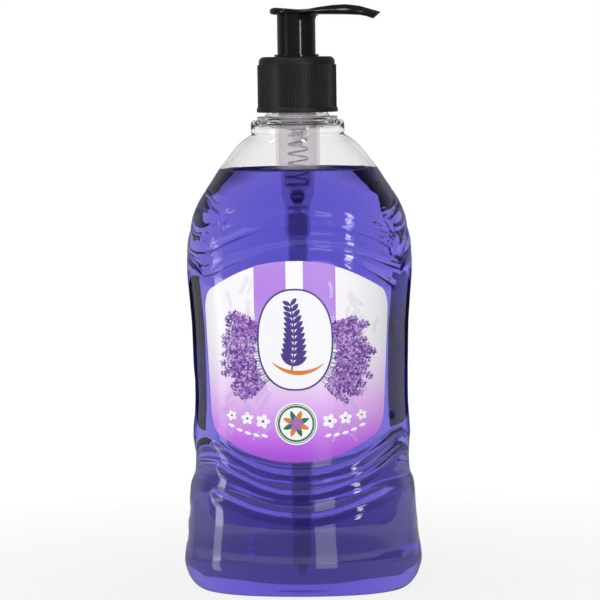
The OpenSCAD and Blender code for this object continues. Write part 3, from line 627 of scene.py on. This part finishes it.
def neck_profile():
    """Neck section in millimetres: up the outside and down the inside."""
    foot = NECK_FOOT_Z
    step_top = foot + 6
    ring_top = step_top + 1.2
    outside = [
        (STEP_RADIUS - 0.4, foot), (STEP_RADIUS - 0.1, foot + 0.5), (STEP_RADIUS, foot + 1.2),
        (STEP_RADIUS, step_top - 2.2),
        (STEP_RADIUS - 0.12, step_top - 1.4), (STEP_RADIUS - 0.5, step_top - 0.7),
        (STEP_RADIUS - 1.3, step_top - 0.2), (STEP_RADIUS - 2.2, step_top - 0.05),
        (RING_RADIUS - 0.4, step_top), (RING_RADIUS, step_top + 0.3),
        (RING_RADIUS, ring_top - 0.3), (RING_RADIUS - 0.3, ring_top),
        (NECK_RADIUS + 0.8, ring_top + 0.25), (NECK_RADIUS, ring_top + 1),
        (NECK_RADIUS, LIP_Z - 0.6), (NECK_RADIUS - 0.5, LIP_Z),
    ]
    inner = STEP_RADIUS - WALL
    inside = [
        (NECK_BORE_RADIUS + 0.2, LIP_Z), (NECK_BORE_RADIUS, LIP_Z - 0.3),
        (NECK_BORE_RADIUS, step_top + 0.1), (NECK_BORE_RADIUS + 1, step_top - 1.1),
        (inner - 1.8, step_top - 1.5), (inner - 0.5, step_top - 2.1), (inner, step_top - 3),
        (inner, foot + 1), (inner - 0.3, foot),
    ]
    return outside, inside


def build_bottle(columns, levels, inner_levels):
    """Outer skin, and an inner skin of half as many columns, joined at the lip."""
    half = columns // 2
    outside, inside = neck_profile()
    rings = [ring_points(r, z, columns) for r, z in reversed(outside[1:])]
    rings += skin_grid(columns, levels, 0.0, 0.0)
    inner = [ring_points(r, z, half) for r, z in inside[:-1]]
    inner += skin_grid(half, inner_levels, WALL, WALL, spread=INNER_SPREAD)
    first, centre = len(rings) * columns, len(rings) * columns + len(inner) * half
    points = np.concatenate(rings + inner + [[[0, 0, PUSH_UP], [0, 0, PUSH_UP + WALL]]]) * MM
    faces = band_faces(len(rings), columns)
    faces += band_faces(len(inner), half, first, inward=True)
    for j in range(half):
        a, b, c = 2 * j, 2 * j + 1, (2 * j + 2) % columns
        p, q = first + j, first + (j + 1) % half
        faces += [(a, b, p), (b, q, p), (b, c, q)]
    faces += fan_faces((len(rings) - 1) * columns, columns, centre)
    faces += fan_faces(first + (len(inner) - 1) * half, half, centre + 1, up=True)
    obj = make_object("bottle_shell", points, faces, (pet,))
    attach(obj, "bottle")
    return obj


def build_thread():
    steps, last = 48, round(THREAD_TURNS * 48)
    low = LIP_Z - 2.6 - THREAD_PITCH * THREAD_TURNS
    points = []
    for i in range(last + 1):
        angle = i * 2 * math.pi / steps
        grow = min(1, 0.12 + min(i, last - i) / 6)
        crest = NECK_RADIUS + THREAD_HEIGHT * grow
        foot = NECK_RADIUS + 0.02
        z = low + THREAD_PITCH * i / steps
        for r, dz in ((foot, -1.1), (crest, -0.45), (crest, 0.45), (foot, 1.1)):
            points.append((r * math.cos(angle) * MM, r * math.sin(angle) * MM, (z + dz) * MM))
    faces = [(4 * i + c, 4 * i + 4 + c, 4 * i + 4 + (c + 1) % 4, 4 * i + (c + 1) % 4)
             for i in range(last) for c in range(4)]
    faces += [(0, 1, 2, 3), (4 * last + 3, 4 * last + 2, 4 * last + 1, 4 * last)]
    obj = make_object("bottle_thread", points, faces, (pet,))
    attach(obj, "bottle")
    return obj


def build_liquid(columns, levels):
    """The filling, which bites a little into the wall, with a low meniscus."""
    inset = WALL - LIQUID_BITE
    under = [z for z in levels if z < SHOULDER_Z]
    t = np.arange(columns) * 360 / columns
    rings = []
    meniscus = ((3.2, 0.0), (2.0, 0.05), (1.1, 0.2), (0.45, 0.5), (0.0, 0.95))
    centre_ring = body_points(t, np.full(columns, LIQUID_LEVEL), np.full(columns, inset))
    for share in (0.12, 0.3, 0.5, 0.7, 0.85):
        ring = centre_ring.copy()
        ring[:, :2] *= share
        rings.append(ring)
    for gap, rise in meniscus:
        z = np.full(columns, LIQUID_LEVEL + rise)
        rings.append(body_points(t, z, np.full(columns, inset + gap)))
    for z in np.linspace(LIQUID_LEVEL, SHOULDER_Z + 0.5, 14):
        flat = np.full(columns, z)
        rings.append(body_points(t, flat, relief(t, flat, INNER_SPREAD) + inset))
    rings += skin_grid(columns, under, inset, WALL - 0.1, top=SHOULDER_Z, spread=INNER_SPREAD)
    points = np.concatenate(rings + [[[0, 0, LIQUID_LEVEL], [0, 0, PUSH_UP + WALL - 0.1]]]) * MM
    count = len(rings)
    faces = band_faces(count, columns)
    faces += fan_faces(0, columns, count * columns, up=True)
    faces += fan_faces((count - 1) * columns, columns, count * columns + 1)
    obj = make_object("liquid", points, faces, (liquid,))
    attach(obj, "bottle")
    return obj


inner_levels = row_levels(max(FINE, 0.9), 2.2)
shell = build_bottle(304, row_levels(FINE, 1.6), inner_levels)
build_thread()
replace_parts(shell, "bottle")
filling = build_liquid(168, inner_levels)
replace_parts(filling, "liquid_soap")


# Label

LABEL_TOP_HALF, LABEL_BOTTOM_HALF = 37.4, 34.6
LABEL_CREST_Z, LABEL_LOW_Z = 137.2, 55.8
LABEL_MID_HALF = 36.0
LABEL_DROP, LABEL_BOW = 11.0, 2.2
LABEL_CORNER = 0.16
LABEL_LIFT = 0.05
OVAL_Z, DISC_Z = 105.5, 71.5
PANEL_X, PANEL_HALF, PANEL_FOOT_Z = 10, 6.5, 104.5
SPRIGS, SPIKES = 150, 30
FILM = 0.12


def label_place(u, v):
    """Front-view place (x, z) in millimetres of label coordinates u and v."""
    near_end = np.minimum(v, 1 - v) / LABEL_CORNER
    corner = np.where(near_end >= 1, 1, 0.9 + 0.1 * np.sqrt(1 - np.clip(1 - near_end, 0, 1) ** 2))
    half = (LABEL_BOTTOM_HALF + (LABEL_TOP_HALF - LABEL_BOTTOM_HALF) * v) * corner
    bottom = LABEL_LOW_Z + LABEL_DROP * np.abs(u) ** LABEL_BOW
    top = LABEL_CREST_Z - LABEL_DROP * np.abs(u) ** LABEL_BOW
    return half * u, bottom + (top - bottom) * v


def on_front(x, z, lift):
    """Points on the body's plain front at a distance above it."""
    x, z = np.asarray(x, float), np.asarray(z, float)
    return np.stack([x, front_y(x, z, lift), z], axis=-1)


def build_label():
    nu, nv = 72, 64
    u, v = np.meshgrid(np.linspace(-1, 1, nu + 1), 0.5 - 0.5 * np.cos(
        np.linspace(0, math.pi, nv + 1)))
    x, z = label_place(u, v)
    inner = on_front(x, z, LABEL_LIFT).reshape(-1, 3)
    outer = on_front(x, z, LABEL_LIFT + FILM).reshape(-1, 3)
    points = np.concatenate([inner, outer]) * MM
    across, sheet = nu + 1, len(inner)
    faces = []
    for r in range(nv):
        for c in range(nu):
            p = r * across + c
            faces.append((p, p + across, p + across + 1, p + 1))
            q = p + sheet
            faces.append((q, q + 1, q + across + 1, q + across))
    rim = list(range(nu)) + [r * across + nu for r in range(nv)]
    rim += [nv * across + c for c in range(nu, 0, -1)] + [r * across for r in range(nv, 0, -1)]
    for i, p in enumerate(rim):
        q = rim[(i + 1) % len(rim)]
        faces.append((p, q, q + sheet, p + sheet))
    obj = make_object("label_sheet", points, faces, (label_film,))
    soften(obj, 40)
    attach(obj, "bottle")
    return obj


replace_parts(build_label(), "front_label")


# Printed shapes on the label: each is a thin patch of one ink

def ink_lift(layer):
    """Height of a layer of ink over the body's front, in millimetres."""
    return LABEL_LIFT + FILM + 0.03 + 0.02 * layer


class Print:
    """Collects patches of ink that lie on the label's front."""

    def __init__(self):
        self.points, self.faces, self.inks = [], [], []

    def patch(self, outline, ink, layer, centre=None, rings=1):
        """A star-shaped patch from an outline of (x, z) in millimetres."""
        outline = np.asarray(outline, float)
        middle = outline.mean(0) if centre is None else np.asarray(centre, float)
        first, count = len(self.points), len(outline)
        lift = ink_lift(layer)
        shares = np.linspace(1, 0, rings + 1)[:-1]
        for share in shares:
            place = middle + (outline - middle) * share
            self.points += list(on_front(place[:, 0], place[:, 1], lift))
        self.points.append(on_front(middle[0], middle[1], lift))
        hub = len(self.points) - 1
        for r in range(rings - 1):
            for j in range(count):
                k = (j + 1) % count
                a, b = first + r * count, first + (r + 1) * count
                self.add((a + j, a + k, b + k, b + j), ink)
        a = first + (rings - 1) * count
        for j in range(count):
            self.add((a + j, a + (j + 1) % count, hub), ink)

    def ring(self, outline, width, ink, layer):
        """A line of one width along a closed outline."""
        outline = np.asarray(outline, float)
        middle = outline.mean(0)
        reach = np.linalg.norm(outline - middle, axis=1, keepdims=True)
        inside = outline - (outline - middle) / reach * width
        self.strip(outline, inside, ink, layer, closed=True)

    def strip(self, one, other, ink, layer, closed=False):
        """A band of ink between two lines of as many points."""
        lift = ink_lift(layer)
        first, count = len(self.points), len(one)
        for line in (one, other):
            line = np.asarray(line, float)
            self.points += list(on_front(line[:, 0], line[:, 1], lift))
        for j in range(count if closed else count - 1):
            k = (j + 1) % count
            self.add((first + j, first + k, first + count + k, first + count + j), ink)

    def add(self, face, ink):
        self.faces.append(face)
        self.inks.append(ink)

    def build(self, name, inks):
        obj = make_object(name, np.array(self.points) * MM, self.faces, inks, smooth=True)
        for polygon, ink in zip(obj.data.polygons, self.inks):
            polygon.material_index = ink
        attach(obj, "bottle")
        return obj


def placed(x, z, cx, cz, turn_deg):
    """Points turned by an angle and moved to a place."""
    a = math.radians(turn_deg)
    return np.stack([cx + x * math.cos(a) - z * math.sin(a),
                     cz + x * math.sin(a) + z * math.cos(a)], axis=-1)


def ellipse(cx, cz, rx, rz, turn_deg=0, count=48, power=2.0):
    t = np.linspace(0, 2 * math.pi, count, endpoint=False)
    x = rx * np.sign(np.cos(t)) * np.abs(np.cos(t)) ** (2 / power)
    z = rz * np.sign(np.sin(t)) * np.abs(np.sin(t)) ** (2 / power)
    return placed(x, z, cx, cz, turn_deg)


def leaf(cx, cz, length, width, turn_deg, count=18):
    """A pointed leaf whose stalk end lies at cx, cz."""
    s = np.linspace(0, 1, count)
    half = width / 2 * np.sin(math.pi * s) ** 0.8
    x = np.concatenate([s * length, s[::-1][1:-1] * length])
    z = np.concatenate([half, -half[::-1][1:-1]])
    return placed(x, z, cx, cz, turn_deg)


INK_WHITE, INK_BAND, INK_RIM, INK_DEEP, INK_MID, INK_PALE, INK_LEAF, INK_LINE, INK_GOLD = range(9)


def ink(name, colour, variation=0.06):
    return plastic(name, [c * (1 - variation) for c in colour], colour, 0.3, coat=0.2)


def stalk(cx, cz, length, turn_deg, bend_deg, count=14):
    """Places and directions along a bent stalk."""
    places, x, z = [], cx, cz
    for k in range(count):
        a = math.radians(turn_deg + bend_deg * k / (count - 1))
        places.append((x, z, math.degrees(a)))
        x, z = x + length / (count - 1) * math.cos(a), z + length / (count - 1) * math.sin(a)
    return places


def draw_stalk(sheet, places, width, ink_number, layer):
    x, z, a = np.array(places).T
    aside = width * np.stack([-np.sin(np.radians(a)), np.cos(np.radians(a))], axis=-1)
    middle = np.stack([x, z], axis=-1)
    sheet.strip(middle - aside, middle + aside, ink_number, layer)


def flower_spike(sheet, cx, cz, length, turn_deg, inks, layer):
    """A stalk set with small buds, thicker towards its middle."""
    places = stalk(cx, cz, length, turn_deg, random.uniform(-18, 18))
    draw_stalk(sheet, places, 0.12, INK_LEAF, layer)
    for k, (x, z, a) in enumerate(places[3:]):
        full = math.sin(math.pi * (k + 1) / (len(places) - 1)) ** 0.6
        for side in (-1, -0.4, 0.4, 1):
            size = random.uniform(0.5, 0.95) * (0.55 + 0.5 * full)
            turn = a + side * random.uniform(25, 60)
            r = math.radians(a + 90)
            off = side * 0.75 * full
            sheet.patch(leaf(x + off * math.cos(r), z + off * math.sin(r), 1.9 * size,
                             1.05 * size, turn, 5), random.choice(inks),
                        layer + random.choice((1, 2)))


def line_sprig(sheet, cx, cz, length, turn_deg, ink_number, layer):
    """A pale stalk with thin leaves."""
    places = stalk(cx, cz, length, turn_deg, random.uniform(-50, 50), 9)
    draw_stalk(sheet, places, 0.07, ink_number, layer)
    for x, z, a in places[1:]:
        for side in (-1, 1):
            sheet.patch(leaf(x, z, length * 0.16, length * 0.05, a + 48 * side, 5),
                        ink_number, layer)


def blossom(sheet, cx, cz, size, turn, petal_ink, heart_ink, layer):
    for k in range(5):
        angle = turn + 72 * k
        a = math.radians(angle)
        sheet.patch(ellipse(cx + 0.55 * size * math.cos(a), cz + 0.55 * size * math.sin(a),
                            0.5 * size, 0.36 * size, angle, 14), petal_ink, layer)
    sheet.patch(ellipse(cx, cz, 0.2 * size, 0.2 * size, 0, 10), heart_ink, layer + 1)


def inside_label(x, z, margin):
    drop = LABEL_DROP * abs(x / LABEL_MID_HALF) ** LABEL_BOW
    low, high = LABEL_LOW_Z + drop + margin, LABEL_CREST_Z - drop - margin
    return abs(x) < LABEL_MID_HALF - 0.5 - margin and low < z < high


def build_print():
    """The label's own design: panels, sprigs, spikes, an oval, a disc and blossoms."""
    sheet = Print()
    # Two violet panels that run down from the arched edge
    for side in (-1, 1):
        top = np.array([[x, LABEL_CREST_Z - LABEL_DROP * abs(x / 37.0) ** LABEL_BOW - 0.05]
                        for x in np.linspace(side * PANEL_X + PANEL_HALF,
                                             side * PANEL_X - PANEL_HALF, 13)])
        bottom = top.copy()
        bottom[:, 1] = PANEL_FOOT_Z
        steps = np.linspace(0, 1, 9)
        for s0, s1 in zip(steps[:-1], steps[1:]):
            sheet.strip(top + (bottom - top) * s0, top + (bottom - top) * s1, INK_BAND, 0)
    # Faint sprigs over the white and violet fields
    for n in range(SPRIGS):
        x, z = random.uniform(-33, 33), random.uniform(62, 130)
        length, turn = random.uniform(5, 9), random.uniform(30, 150)
        tip_x = x + length * math.cos(math.radians(turn))
        if abs(x) > 14 and inside_label(x, z, 2) and inside_label(tip_x, z + length, 3):
            line_sprig(sheet, x, z, length, turn, INK_LINE if z > 88 else INK_PALE, 0)
    # Flower spikes that fan out behind the oval like a wreath
    tones = (INK_DEEP, INK_MID, INK_MID, INK_PALE, INK_RIM)
    for side in (-1, 1):
        for n in range(SPIKES):
            share = n / (SPIKES - 1)
            angle = math.radians(-42 + 74 * share)
            cx = side * 13 * math.cos(angle)
            cz = 105 + 17 * math.sin(angle) - 4
            turn = math.degrees(angle) * 0.8 + random.uniform(-9, 9)
            length = min(random.uniform(13, 19) - 4 * abs(share - 0.5), 34 - abs(cx))
            flower_spike(sheet, cx, cz, length, turn if side > 0 else 180 - turn, tones,
                         1 + n % 3)
    # Bare upright oval with a deep rim
    sheet.patch(ellipse(0, OVAL_Z, 15.4, 20.6, count=72, power=2.3), INK_RIM, 5, rings=8)
    sheet.patch(ellipse(0, OVAL_Z, 14.7, 19.9, count=72, power=2.3), INK_WHITE, 6, rings=8)
    # A rising branch and a golden crescent in the oval
    branch = stalk(-1.6, 92.5, 27, 80, 22, 12)
    draw_stalk(sheet, branch, 0.3, INK_RIM, 7)
    for k, (x, z, a) in enumerate(branch[1:]):
        for leaf_side in (-1, 1):
            sheet.patch(leaf(x, z, 7.0 - 0.32 * k, 2.6 - 0.08 * k, a + 50 * leaf_side, 12),
                        INK_RIM, 7)
    arc = stalk(-9.5, 96.5, 23, -42, 84, 22)
    width = [0.15 + 0.75 * math.sin(math.pi * k / 21) for k in range(22)]
    one = [(x, z + w) for (x, z, a), w in zip(arc, width)]
    other = [(x, z - w) for (x, z, a), w in zip(arc, width)]
    sheet.strip(other, one, INK_GOLD, 8)
    # Plain disc low on the label, a blossom of leaves in its ring
    sheet.patch(ellipse(0, DISC_Z, 8.6, 8.6), INK_WHITE, 1, rings=4)
    sheet.ring(ellipse(0, DISC_Z, 8.0, 8.0), 1.4, INK_LEAF, 2)
    sheet.ring(ellipse(0, DISC_Z, 7.7, 7.7), 0.3, INK_WHITE, 3)
    for k in range(8):
        sheet.patch(leaf(0, DISC_Z, 5.7, 2.1, 22.5 + 45 * k), INK_GOLD if k % 2 else INK_LEAF, 2)
    blossom(sheet, 0, DISC_Z, 2.8, 90, INK_MID, INK_GOLD, 3)
    # White blossoms and leaves at both sides of the disc
    for side in (-1, 1):
        for k in range(3):
            blossom(sheet, side * (13.5 + 6.4 * k), 72.5 + 1.1 * k, 2.9 - 0.4 * k, 18 * k,
                    INK_WHITE, INK_DEEP, 2)
        for k in range(5):
            sheet.patch(leaf(side * (11.5 + 3.4 * k), 66.2 + 0.25 * k * k, 3.0, 1.3,
                             18 if side > 0 else 162), INK_WHITE, 1)
    inks = [
        ink("ink_white", (0.93, 0.92, 0.95), 0.01),
        print_material("ink_band", ((104, (0.66, 0.5, 0.86)), (114, (0.5, 0.3, 0.8)),
                                    (124, (0.47, 0.24, 0.78)), (138, (0.5, 0.28, 0.8)))),
        ink("ink_rim", (0.085, 0.05, 0.26)),
        ink("ink_deep", (0.2, 0.06, 0.36)),
        ink("ink_mid", (0.36, 0.17, 0.56)),
        ink("ink_pale", (0.62, 0.42, 0.78)),
        ink("ink_leaf", (0.03, 0.17, 0.08)),
        ink("ink_line", (0.78, 0.74, 0.88)),
        ink("ink_gold", (0.75, 0.23, 0.03)),
    ]
    return sheet.build("label_print", inks)


build_print()


# Pump head: a lofted thumb rest and spout on a round skirt

HEAD_TOP_Z = cad_high.z / MM
NOZZLE_REACH = 34.7
REST_BACK = 10.7
REST_HALF, NOZZLE_HALF = 9.6, 3.6
SKIRT_RADIUS, SKIRT_BORE = 7.85, 6.55
FILLET_RADIUS, FILLET_HALF_DEG, FILLET_COLUMNS = 2.6, 80, 33
SKIRT_FOOT_Z = HEAD_TOP_Z - 22.5
# Distance from the axis, top and underside counted down from the highest point
REST_PROFILE = np.array([
    [-REST_BACK, 2.0, 3.2],
    [-REST_BACK + 0.6, 1.3, 3.8],
    [-REST_BACK + 2.2, 1.0, 4.0],
    [-4, 1.25, 4.0],
    [1, 1.65, 4.0],
    [5, 1.6, 4.0],
    [9, 1.0, 4.0],
    [15, 0.25, 4.1],
    [20.5, 0, 4.2],
    [NOZZLE_REACH - 8.7, 0.7, 4.5],
    [NOZZLE_REACH - 4, 2.1, 5.4],
    [NOZZLE_REACH, 3.3, 6.0],
])


def rest_width(x):
    if x < 0:
        return REST_HALF * math.sqrt(max(0.02, 1 - (x / (REST_BACK + 0.05)) ** 2))
    share = float(ease(x / (NOZZLE_REACH - 6)))
    return REST_HALF + (NOZZLE_HALF - REST_HALF) * share


def build_head():
    section = 40
    places = list(-REST_BACK * np.cos(np.linspace(0, math.pi / 2, 16)))
    places += list(np.linspace(0, NOZZLE_REACH, 44)[1:])
    points = []
    for i, x in enumerate(places):
        top = HEAD_TOP_Z - np.interp(x, REST_PROFILE[:, 0], REST_PROFILE[:, 1])
        low = HEAD_TOP_Z - np.interp(x, REST_PROFILE[:, 0], REST_PROFILE[:, 2])
        width, height = rest_width(x), top - low
        lean = 3.2 * min(1, max(0, (x - NOZZLE_REACH + 6) / 6))
        rest = float(ease(1 - abs(x - 1) / 10))
        for k in range(section):
            t = 2 * math.pi * k / section
            c, s = math.cos(t), math.sin(t)
            across = math.copysign(abs(c) ** 0.45, c)
            up = math.copysign(abs(s) ** 0.7, s)
            dish = 0.35 * rest * max(0, s) * (1 - across**2)
            z = low + height * (0.5 + 0.5 * up) - dish
            points.append(((x - lean * (top - z) / max(height, 0.1)) * MM,
                           width * across * MM, z * MM))
    count = len(places)
    faces = band_faces(count, section)
    faces.append(tuple(range(section)))
    faces.append(tuple((count - 1) * section + k for k in reversed(range(section))))
    plate = make_object("head_plate", points, faces, (black_gloss,))
    plate.data.flip_normals()
    soften(plate, 60)
    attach(plate, "head")
    fillet = [(SKIRT_RADIUS + FILLET_RADIUS * (1 - math.cos(a)),
               HEAD_TOP_Z - 6.4 + FILLET_RADIUS * math.sin(a))
              for a in np.linspace(0, math.pi / 2, 9)]
    profile = [(SKIRT_BORE, SKIRT_FOOT_Z), (SKIRT_RADIUS - 0.2, SKIRT_FOOT_Z),
               (SKIRT_RADIUS, SKIRT_FOOT_Z + 0.25), (SKIRT_RADIUS, HEAD_TOP_Z - 8),
               (SKIRT_RADIUS, HEAD_TOP_Z - 5), (SKIRT_RADIUS, HEAD_TOP_Z - 3.4),
               (0.5, HEAD_TOP_Z - 3.4), (0.5, HEAD_TOP_Z - 7), (SKIRT_BORE, HEAD_TOP_Z - 7)]
    lathe("head_skirt", profile, 96, black_gloss, "head")
    angles = np.radians(np.linspace(-FILLET_HALF_DEG, FILLET_HALF_DEG, FILLET_COLUMNS))
    points = [(r * math.cos(a) * MM, r * math.sin(a) * MM, z * MM)
              for r, z in fillet for a in angles]
    faces = band_faces(len(fillet), FILLET_COLUMNS, inward=True, closed=False)
    blend = make_object("head_fillet", points, faces, (black_gloss,))
    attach(blend, "head")
    return plate


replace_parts(build_head(), "actuator_head")

# Finishes of the pieces that keep the CAD's mesh
FINISHES = {
    "screw_collar": black_satin,
    "lock_collar": black_gloss,
    "neck_gasket": seal_white,
    "pump_housing": natural,
    "inlet_ball": steel,
    "return_spring": steel,
    "dip_tube": tube_plastic,
    "piston": seal_white,
    "piston_rod": seal_white,
    "stem": seal_white,
}
for name, material in FINISHES.items():
    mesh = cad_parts[name].data
    mesh.materials.clear()
    mesh.materials.append(material)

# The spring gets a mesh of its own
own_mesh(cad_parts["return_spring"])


# Studio

CAMERA_DISTANCE = 1.3
CAMERA_HEIGHT = 0.218
CAMERA_TURN_DEG = 4.0
CAMERA_ROLL_DEG = -0.8
AIM_Z = 0.1191
FIELD_DEG = 10.83
FLOOR_HALF = 1.2


def turned(azimuth_deg, distance, z):
    """A place seen from the object at an azimuth from the camera's side."""
    a = math.radians(azimuth_deg + CAMERA_TURN_DEG)
    return Vector((distance * math.sin(a), -distance * math.cos(a), z))


def build_camera():
    data = bpy.data.cameras.new("camera")
    data.sensor_width = 36
    data.angle = math.radians(FIELD_DEG)
    camera = bpy.data.objects.new("camera", data)
    bpy.context.scene.collection.objects.link(camera)
    camera.location = turned(0, CAMERA_DISTANCE, CAMERA_HEIGHT)
    aim = Vector((0, 0, AIM_Z)) - camera.location
    look = aim.to_track_quat("-Z", "Y")
    camera.rotation_euler = look.to_euler()
    camera.rotation_euler.rotate_axis("Z", math.radians(CAMERA_ROLL_DEG))
    bpy.context.scene.camera = camera


def soft_light(name, azimuth, distance, width, low, high, radiance, mirrored=True,
               colour=(1, 1, 1)):
    """An upright box of light between two heights, of an even brightness."""
    data = bpy.data.lights.new(name, "AREA")
    data.shape = "RECTANGLE"
    data.size, data.size_y = width, high - low
    data.energy = radiance * math.pi * width * (high - low)
    data.color = colour
    lamp = bpy.data.objects.new(name, data)
    bpy.context.scene.collection.objects.link(lamp)
    lamp.location = turned(azimuth, distance, (low + high) / 2)
    aim = Vector((0, 0, lamp.location.z * 0.8)) - lamp.location
    lamp.rotation_euler = aim.to_track_quat("-Z", "Y").to_euler()
    lamp.visible_camera = False
    lamp.visible_glossy = mirrored
    lamp.visible_transmission = mirrored
    return lamp


def card(name, azimuth, distance, width, low, high, grey):
    """A card behind the object that only refracted and mirrored light meets."""
    material, tree, out = new_material(name)
    glow = new_node(tree, "Emission", Color=(grey, grey, grey, 1))
    link(tree, glow, "Emission", out, "Surface")
    w, h = width / 2, high - low
    points = [(-w, 0, 0), (w, 0, 0), (w, 0, h), (-w, 0, h)]
    obj = make_object(name, points, [(0, 1, 2, 3)], (material,), smooth=False)
    obj.location = turned(180 + azimuth, distance, low)
    obj.rotation_euler[2] = math.radians(azimuth + CAMERA_TURN_DEG)
    obj.visible_camera = False
    obj.visible_diffuse = False
    obj.visible_shadow = False
    return obj


def grey_ramp(tree, stops):
    return colour_ramp(tree, [(place, (grey,) * 3) for place, grey in stops])


# Greys of the world: from beside the object to behind it, and from below upwards
AROUND_STOPS = ((0.1, 0.16), (0.55, 0.8), (0.8, 1.0))
UPWARD_STOPS = ((0.25, 0.5), (0.35, 1.0), (0.66, 1.0), (0.8, 0.4))
MIRRORED_STRENGTH = 0.22


def build_world():
    """White for the camera, greys for bent light, dimmer greys for mirrored light."""
    world = bpy.data.worlds.new("studio")
    bpy.context.scene.world = world
    world.use_nodes = True
    tree = world.node_tree
    tree.nodes.clear()
    out = new_node(tree, "OutputWorld")
    back = new_node(tree, "Background")
    white = new_node(tree, "Background", Color=(1, 1, 1, 1))
    mix = new_node(tree, "MixShader")
    path = new_node(tree, "LightPath")
    coordinates = new_node(tree, "TexCoord")
    dot = new_node(tree, "VectorMath", operation="DOT_PRODUCT")
    dot.inputs[1].default_value = -turned(0, 1, 0).normalized()
    split = new_node(tree, "SeparateXYZ")
    around = grey_ramp(tree, AROUND_STOPS)
    upward = grey_ramp(tree, UPWARD_STOPS)
    lift = new_node(tree, "MapRange", From_Min=-1)
    product = new_node(tree, "VectorMath", operation="MULTIPLY")
    link(tree, coordinates, "Generated", dot, 0)
    link(tree, dot, "Value", around, "Fac")
    link(tree, coordinates, "Generated", split, "Vector")
    link(tree, split, "Z", lift, "Value")
    link(tree, lift, "Result", upward, "Fac")
    link(tree, around, "Color", product, 0)
    link(tree, upward, "Color", product, 1)
    dim = new_node(tree, "MapRange", To_Min=1.0, To_Max=MIRRORED_STRENGTH)
    mirrored = new_node(tree, "Math", operation="SUBTRACT")
    link(tree, path, "Is Glossy Ray", mirrored, 0)
    link(tree, path, "Is Transmission Ray", mirrored, 1)
    link(tree, mirrored, "Value", dim, "Value")
    link(tree, dim, "Result", back, "Strength")
    link(tree, product, "Vector", back, "Color")
    link(tree, path, "Is Camera Ray", mix, "Fac")
    link(tree, back, "Background", mix, 1)
    link(tree, white, "Background", mix, 2)
    link(tree, mix, "Shader", out, "Surface")


def build_floor():
    """A floor white to the camera, with a faint shade near the object."""
    material, tree, out = new_material("pale_floor")
    diffuse = new_node(tree, "BsdfDiffuse", Color=(0.35, 0.35, 0.36, 1))
    white = new_node(tree, "Emission", Color=(1, 1, 1, 1))
    path = new_node(tree, "LightPath")
    coordinates = new_node(tree, "TexCoord")
    length = new_node(tree, "VectorMath", operation="LENGTH")
    far = new_node(tree, "MapRange", From_Min=0.06, From_Max=0.3, To_Min=0.86, To_Max=1.0)
    link(tree, coordinates, "Object", length, 0)
    link(tree, length, "Value", far, "Value")
    share = new_node(tree, "Math", operation="MULTIPLY")
    bent = new_node(tree, "MapRange", From_Min=0.34, From_Max=0.5, To_Min=0.22)
    bent_share = new_node(tree, "Math", operation="MULTIPLY")
    total = new_node(tree, "Math", operation="MAXIMUM")
    mix = new_node(tree, "MixShader")
    link(tree, path, "Is Camera Ray", share, 0)
    link(tree, far, "Result", share, 1)
    link(tree, length, "Value", bent, "Value")
    link(tree, path, "Is Transmission Ray", bent_share, 0)
    link(tree, bent, "Result", bent_share, 1)
    link(tree, share, "Value", total, 0)
    link(tree, bent_share, "Value", total, 1)
    link(tree, total, "Value", mix, "Fac")
    link(tree, diffuse, "BSDF", mix, 1)
    link(tree, white, "Emission", mix, 2)
    link(tree, mix, "Shader", out, "Surface")
    size = FLOOR_HALF
    floor = make_object("floor", [(-size, -size, 0), (size, -size, 0), (size, size, 0),
                                  (-size, size, 0)], [(0, 1, 2, 3)], (material,), smooth=False)
    floor.location.z = -0.0002
    floor.visible_glossy = False


build_world()
build_floor()
build_camera()
soft_light("left_box", -65, 0.9, 0.18, -0.3, 0.2, 3.2, colour=(0.9, 0.92, 1.0))
soft_light("left_key", -74, 0.9, 0.14, 1.45, 1.85, 16)
soft_light("right_key", 11, 0.9, 0.16, 1.55, 2.05, 16)
soft_light("front_strip", 2.5, 2.0, 0.38, -0.3, 0.05, 2.2)
soft_light("head_strip", 24, 1.0, 0.1, 0.11, 0.34, 8)
soft_light("front_fill", -12, 1.8, 1.2, 0.3, 1.5, 7.6, mirrored=False)
# Near-black cards behind the sides at label height: seen through the liquid they give the dark
# zones beside the label as painted shade, in place of the shade of a back label
card("left_shade_card", -34, 0.1, 0.09, 0.052, 0.126, 0.01)
card("right_shade_card", 34, 0.1, 0.105, 0.052, 0.126, 0.01)
card("low_card", 0, 0.15, 0.6, 0.0, 0.02, 0.42)

scene = bpy.context.scene
scene.view_settings.view_transform = "Standard"
scene.cycles.max_bounces = 24
scene.cycles.transmission_bounces = 20
scene.cycles.transparent_max_bounces = 24
scene.cycles.glossy_bounces = 8
scene.cycles.diffuse_bounces = 4
scene.cycles.caustics_refractive = True
scene.cycles.caustics_reflective = False
scene.cycles.blur_glossy = 0.3
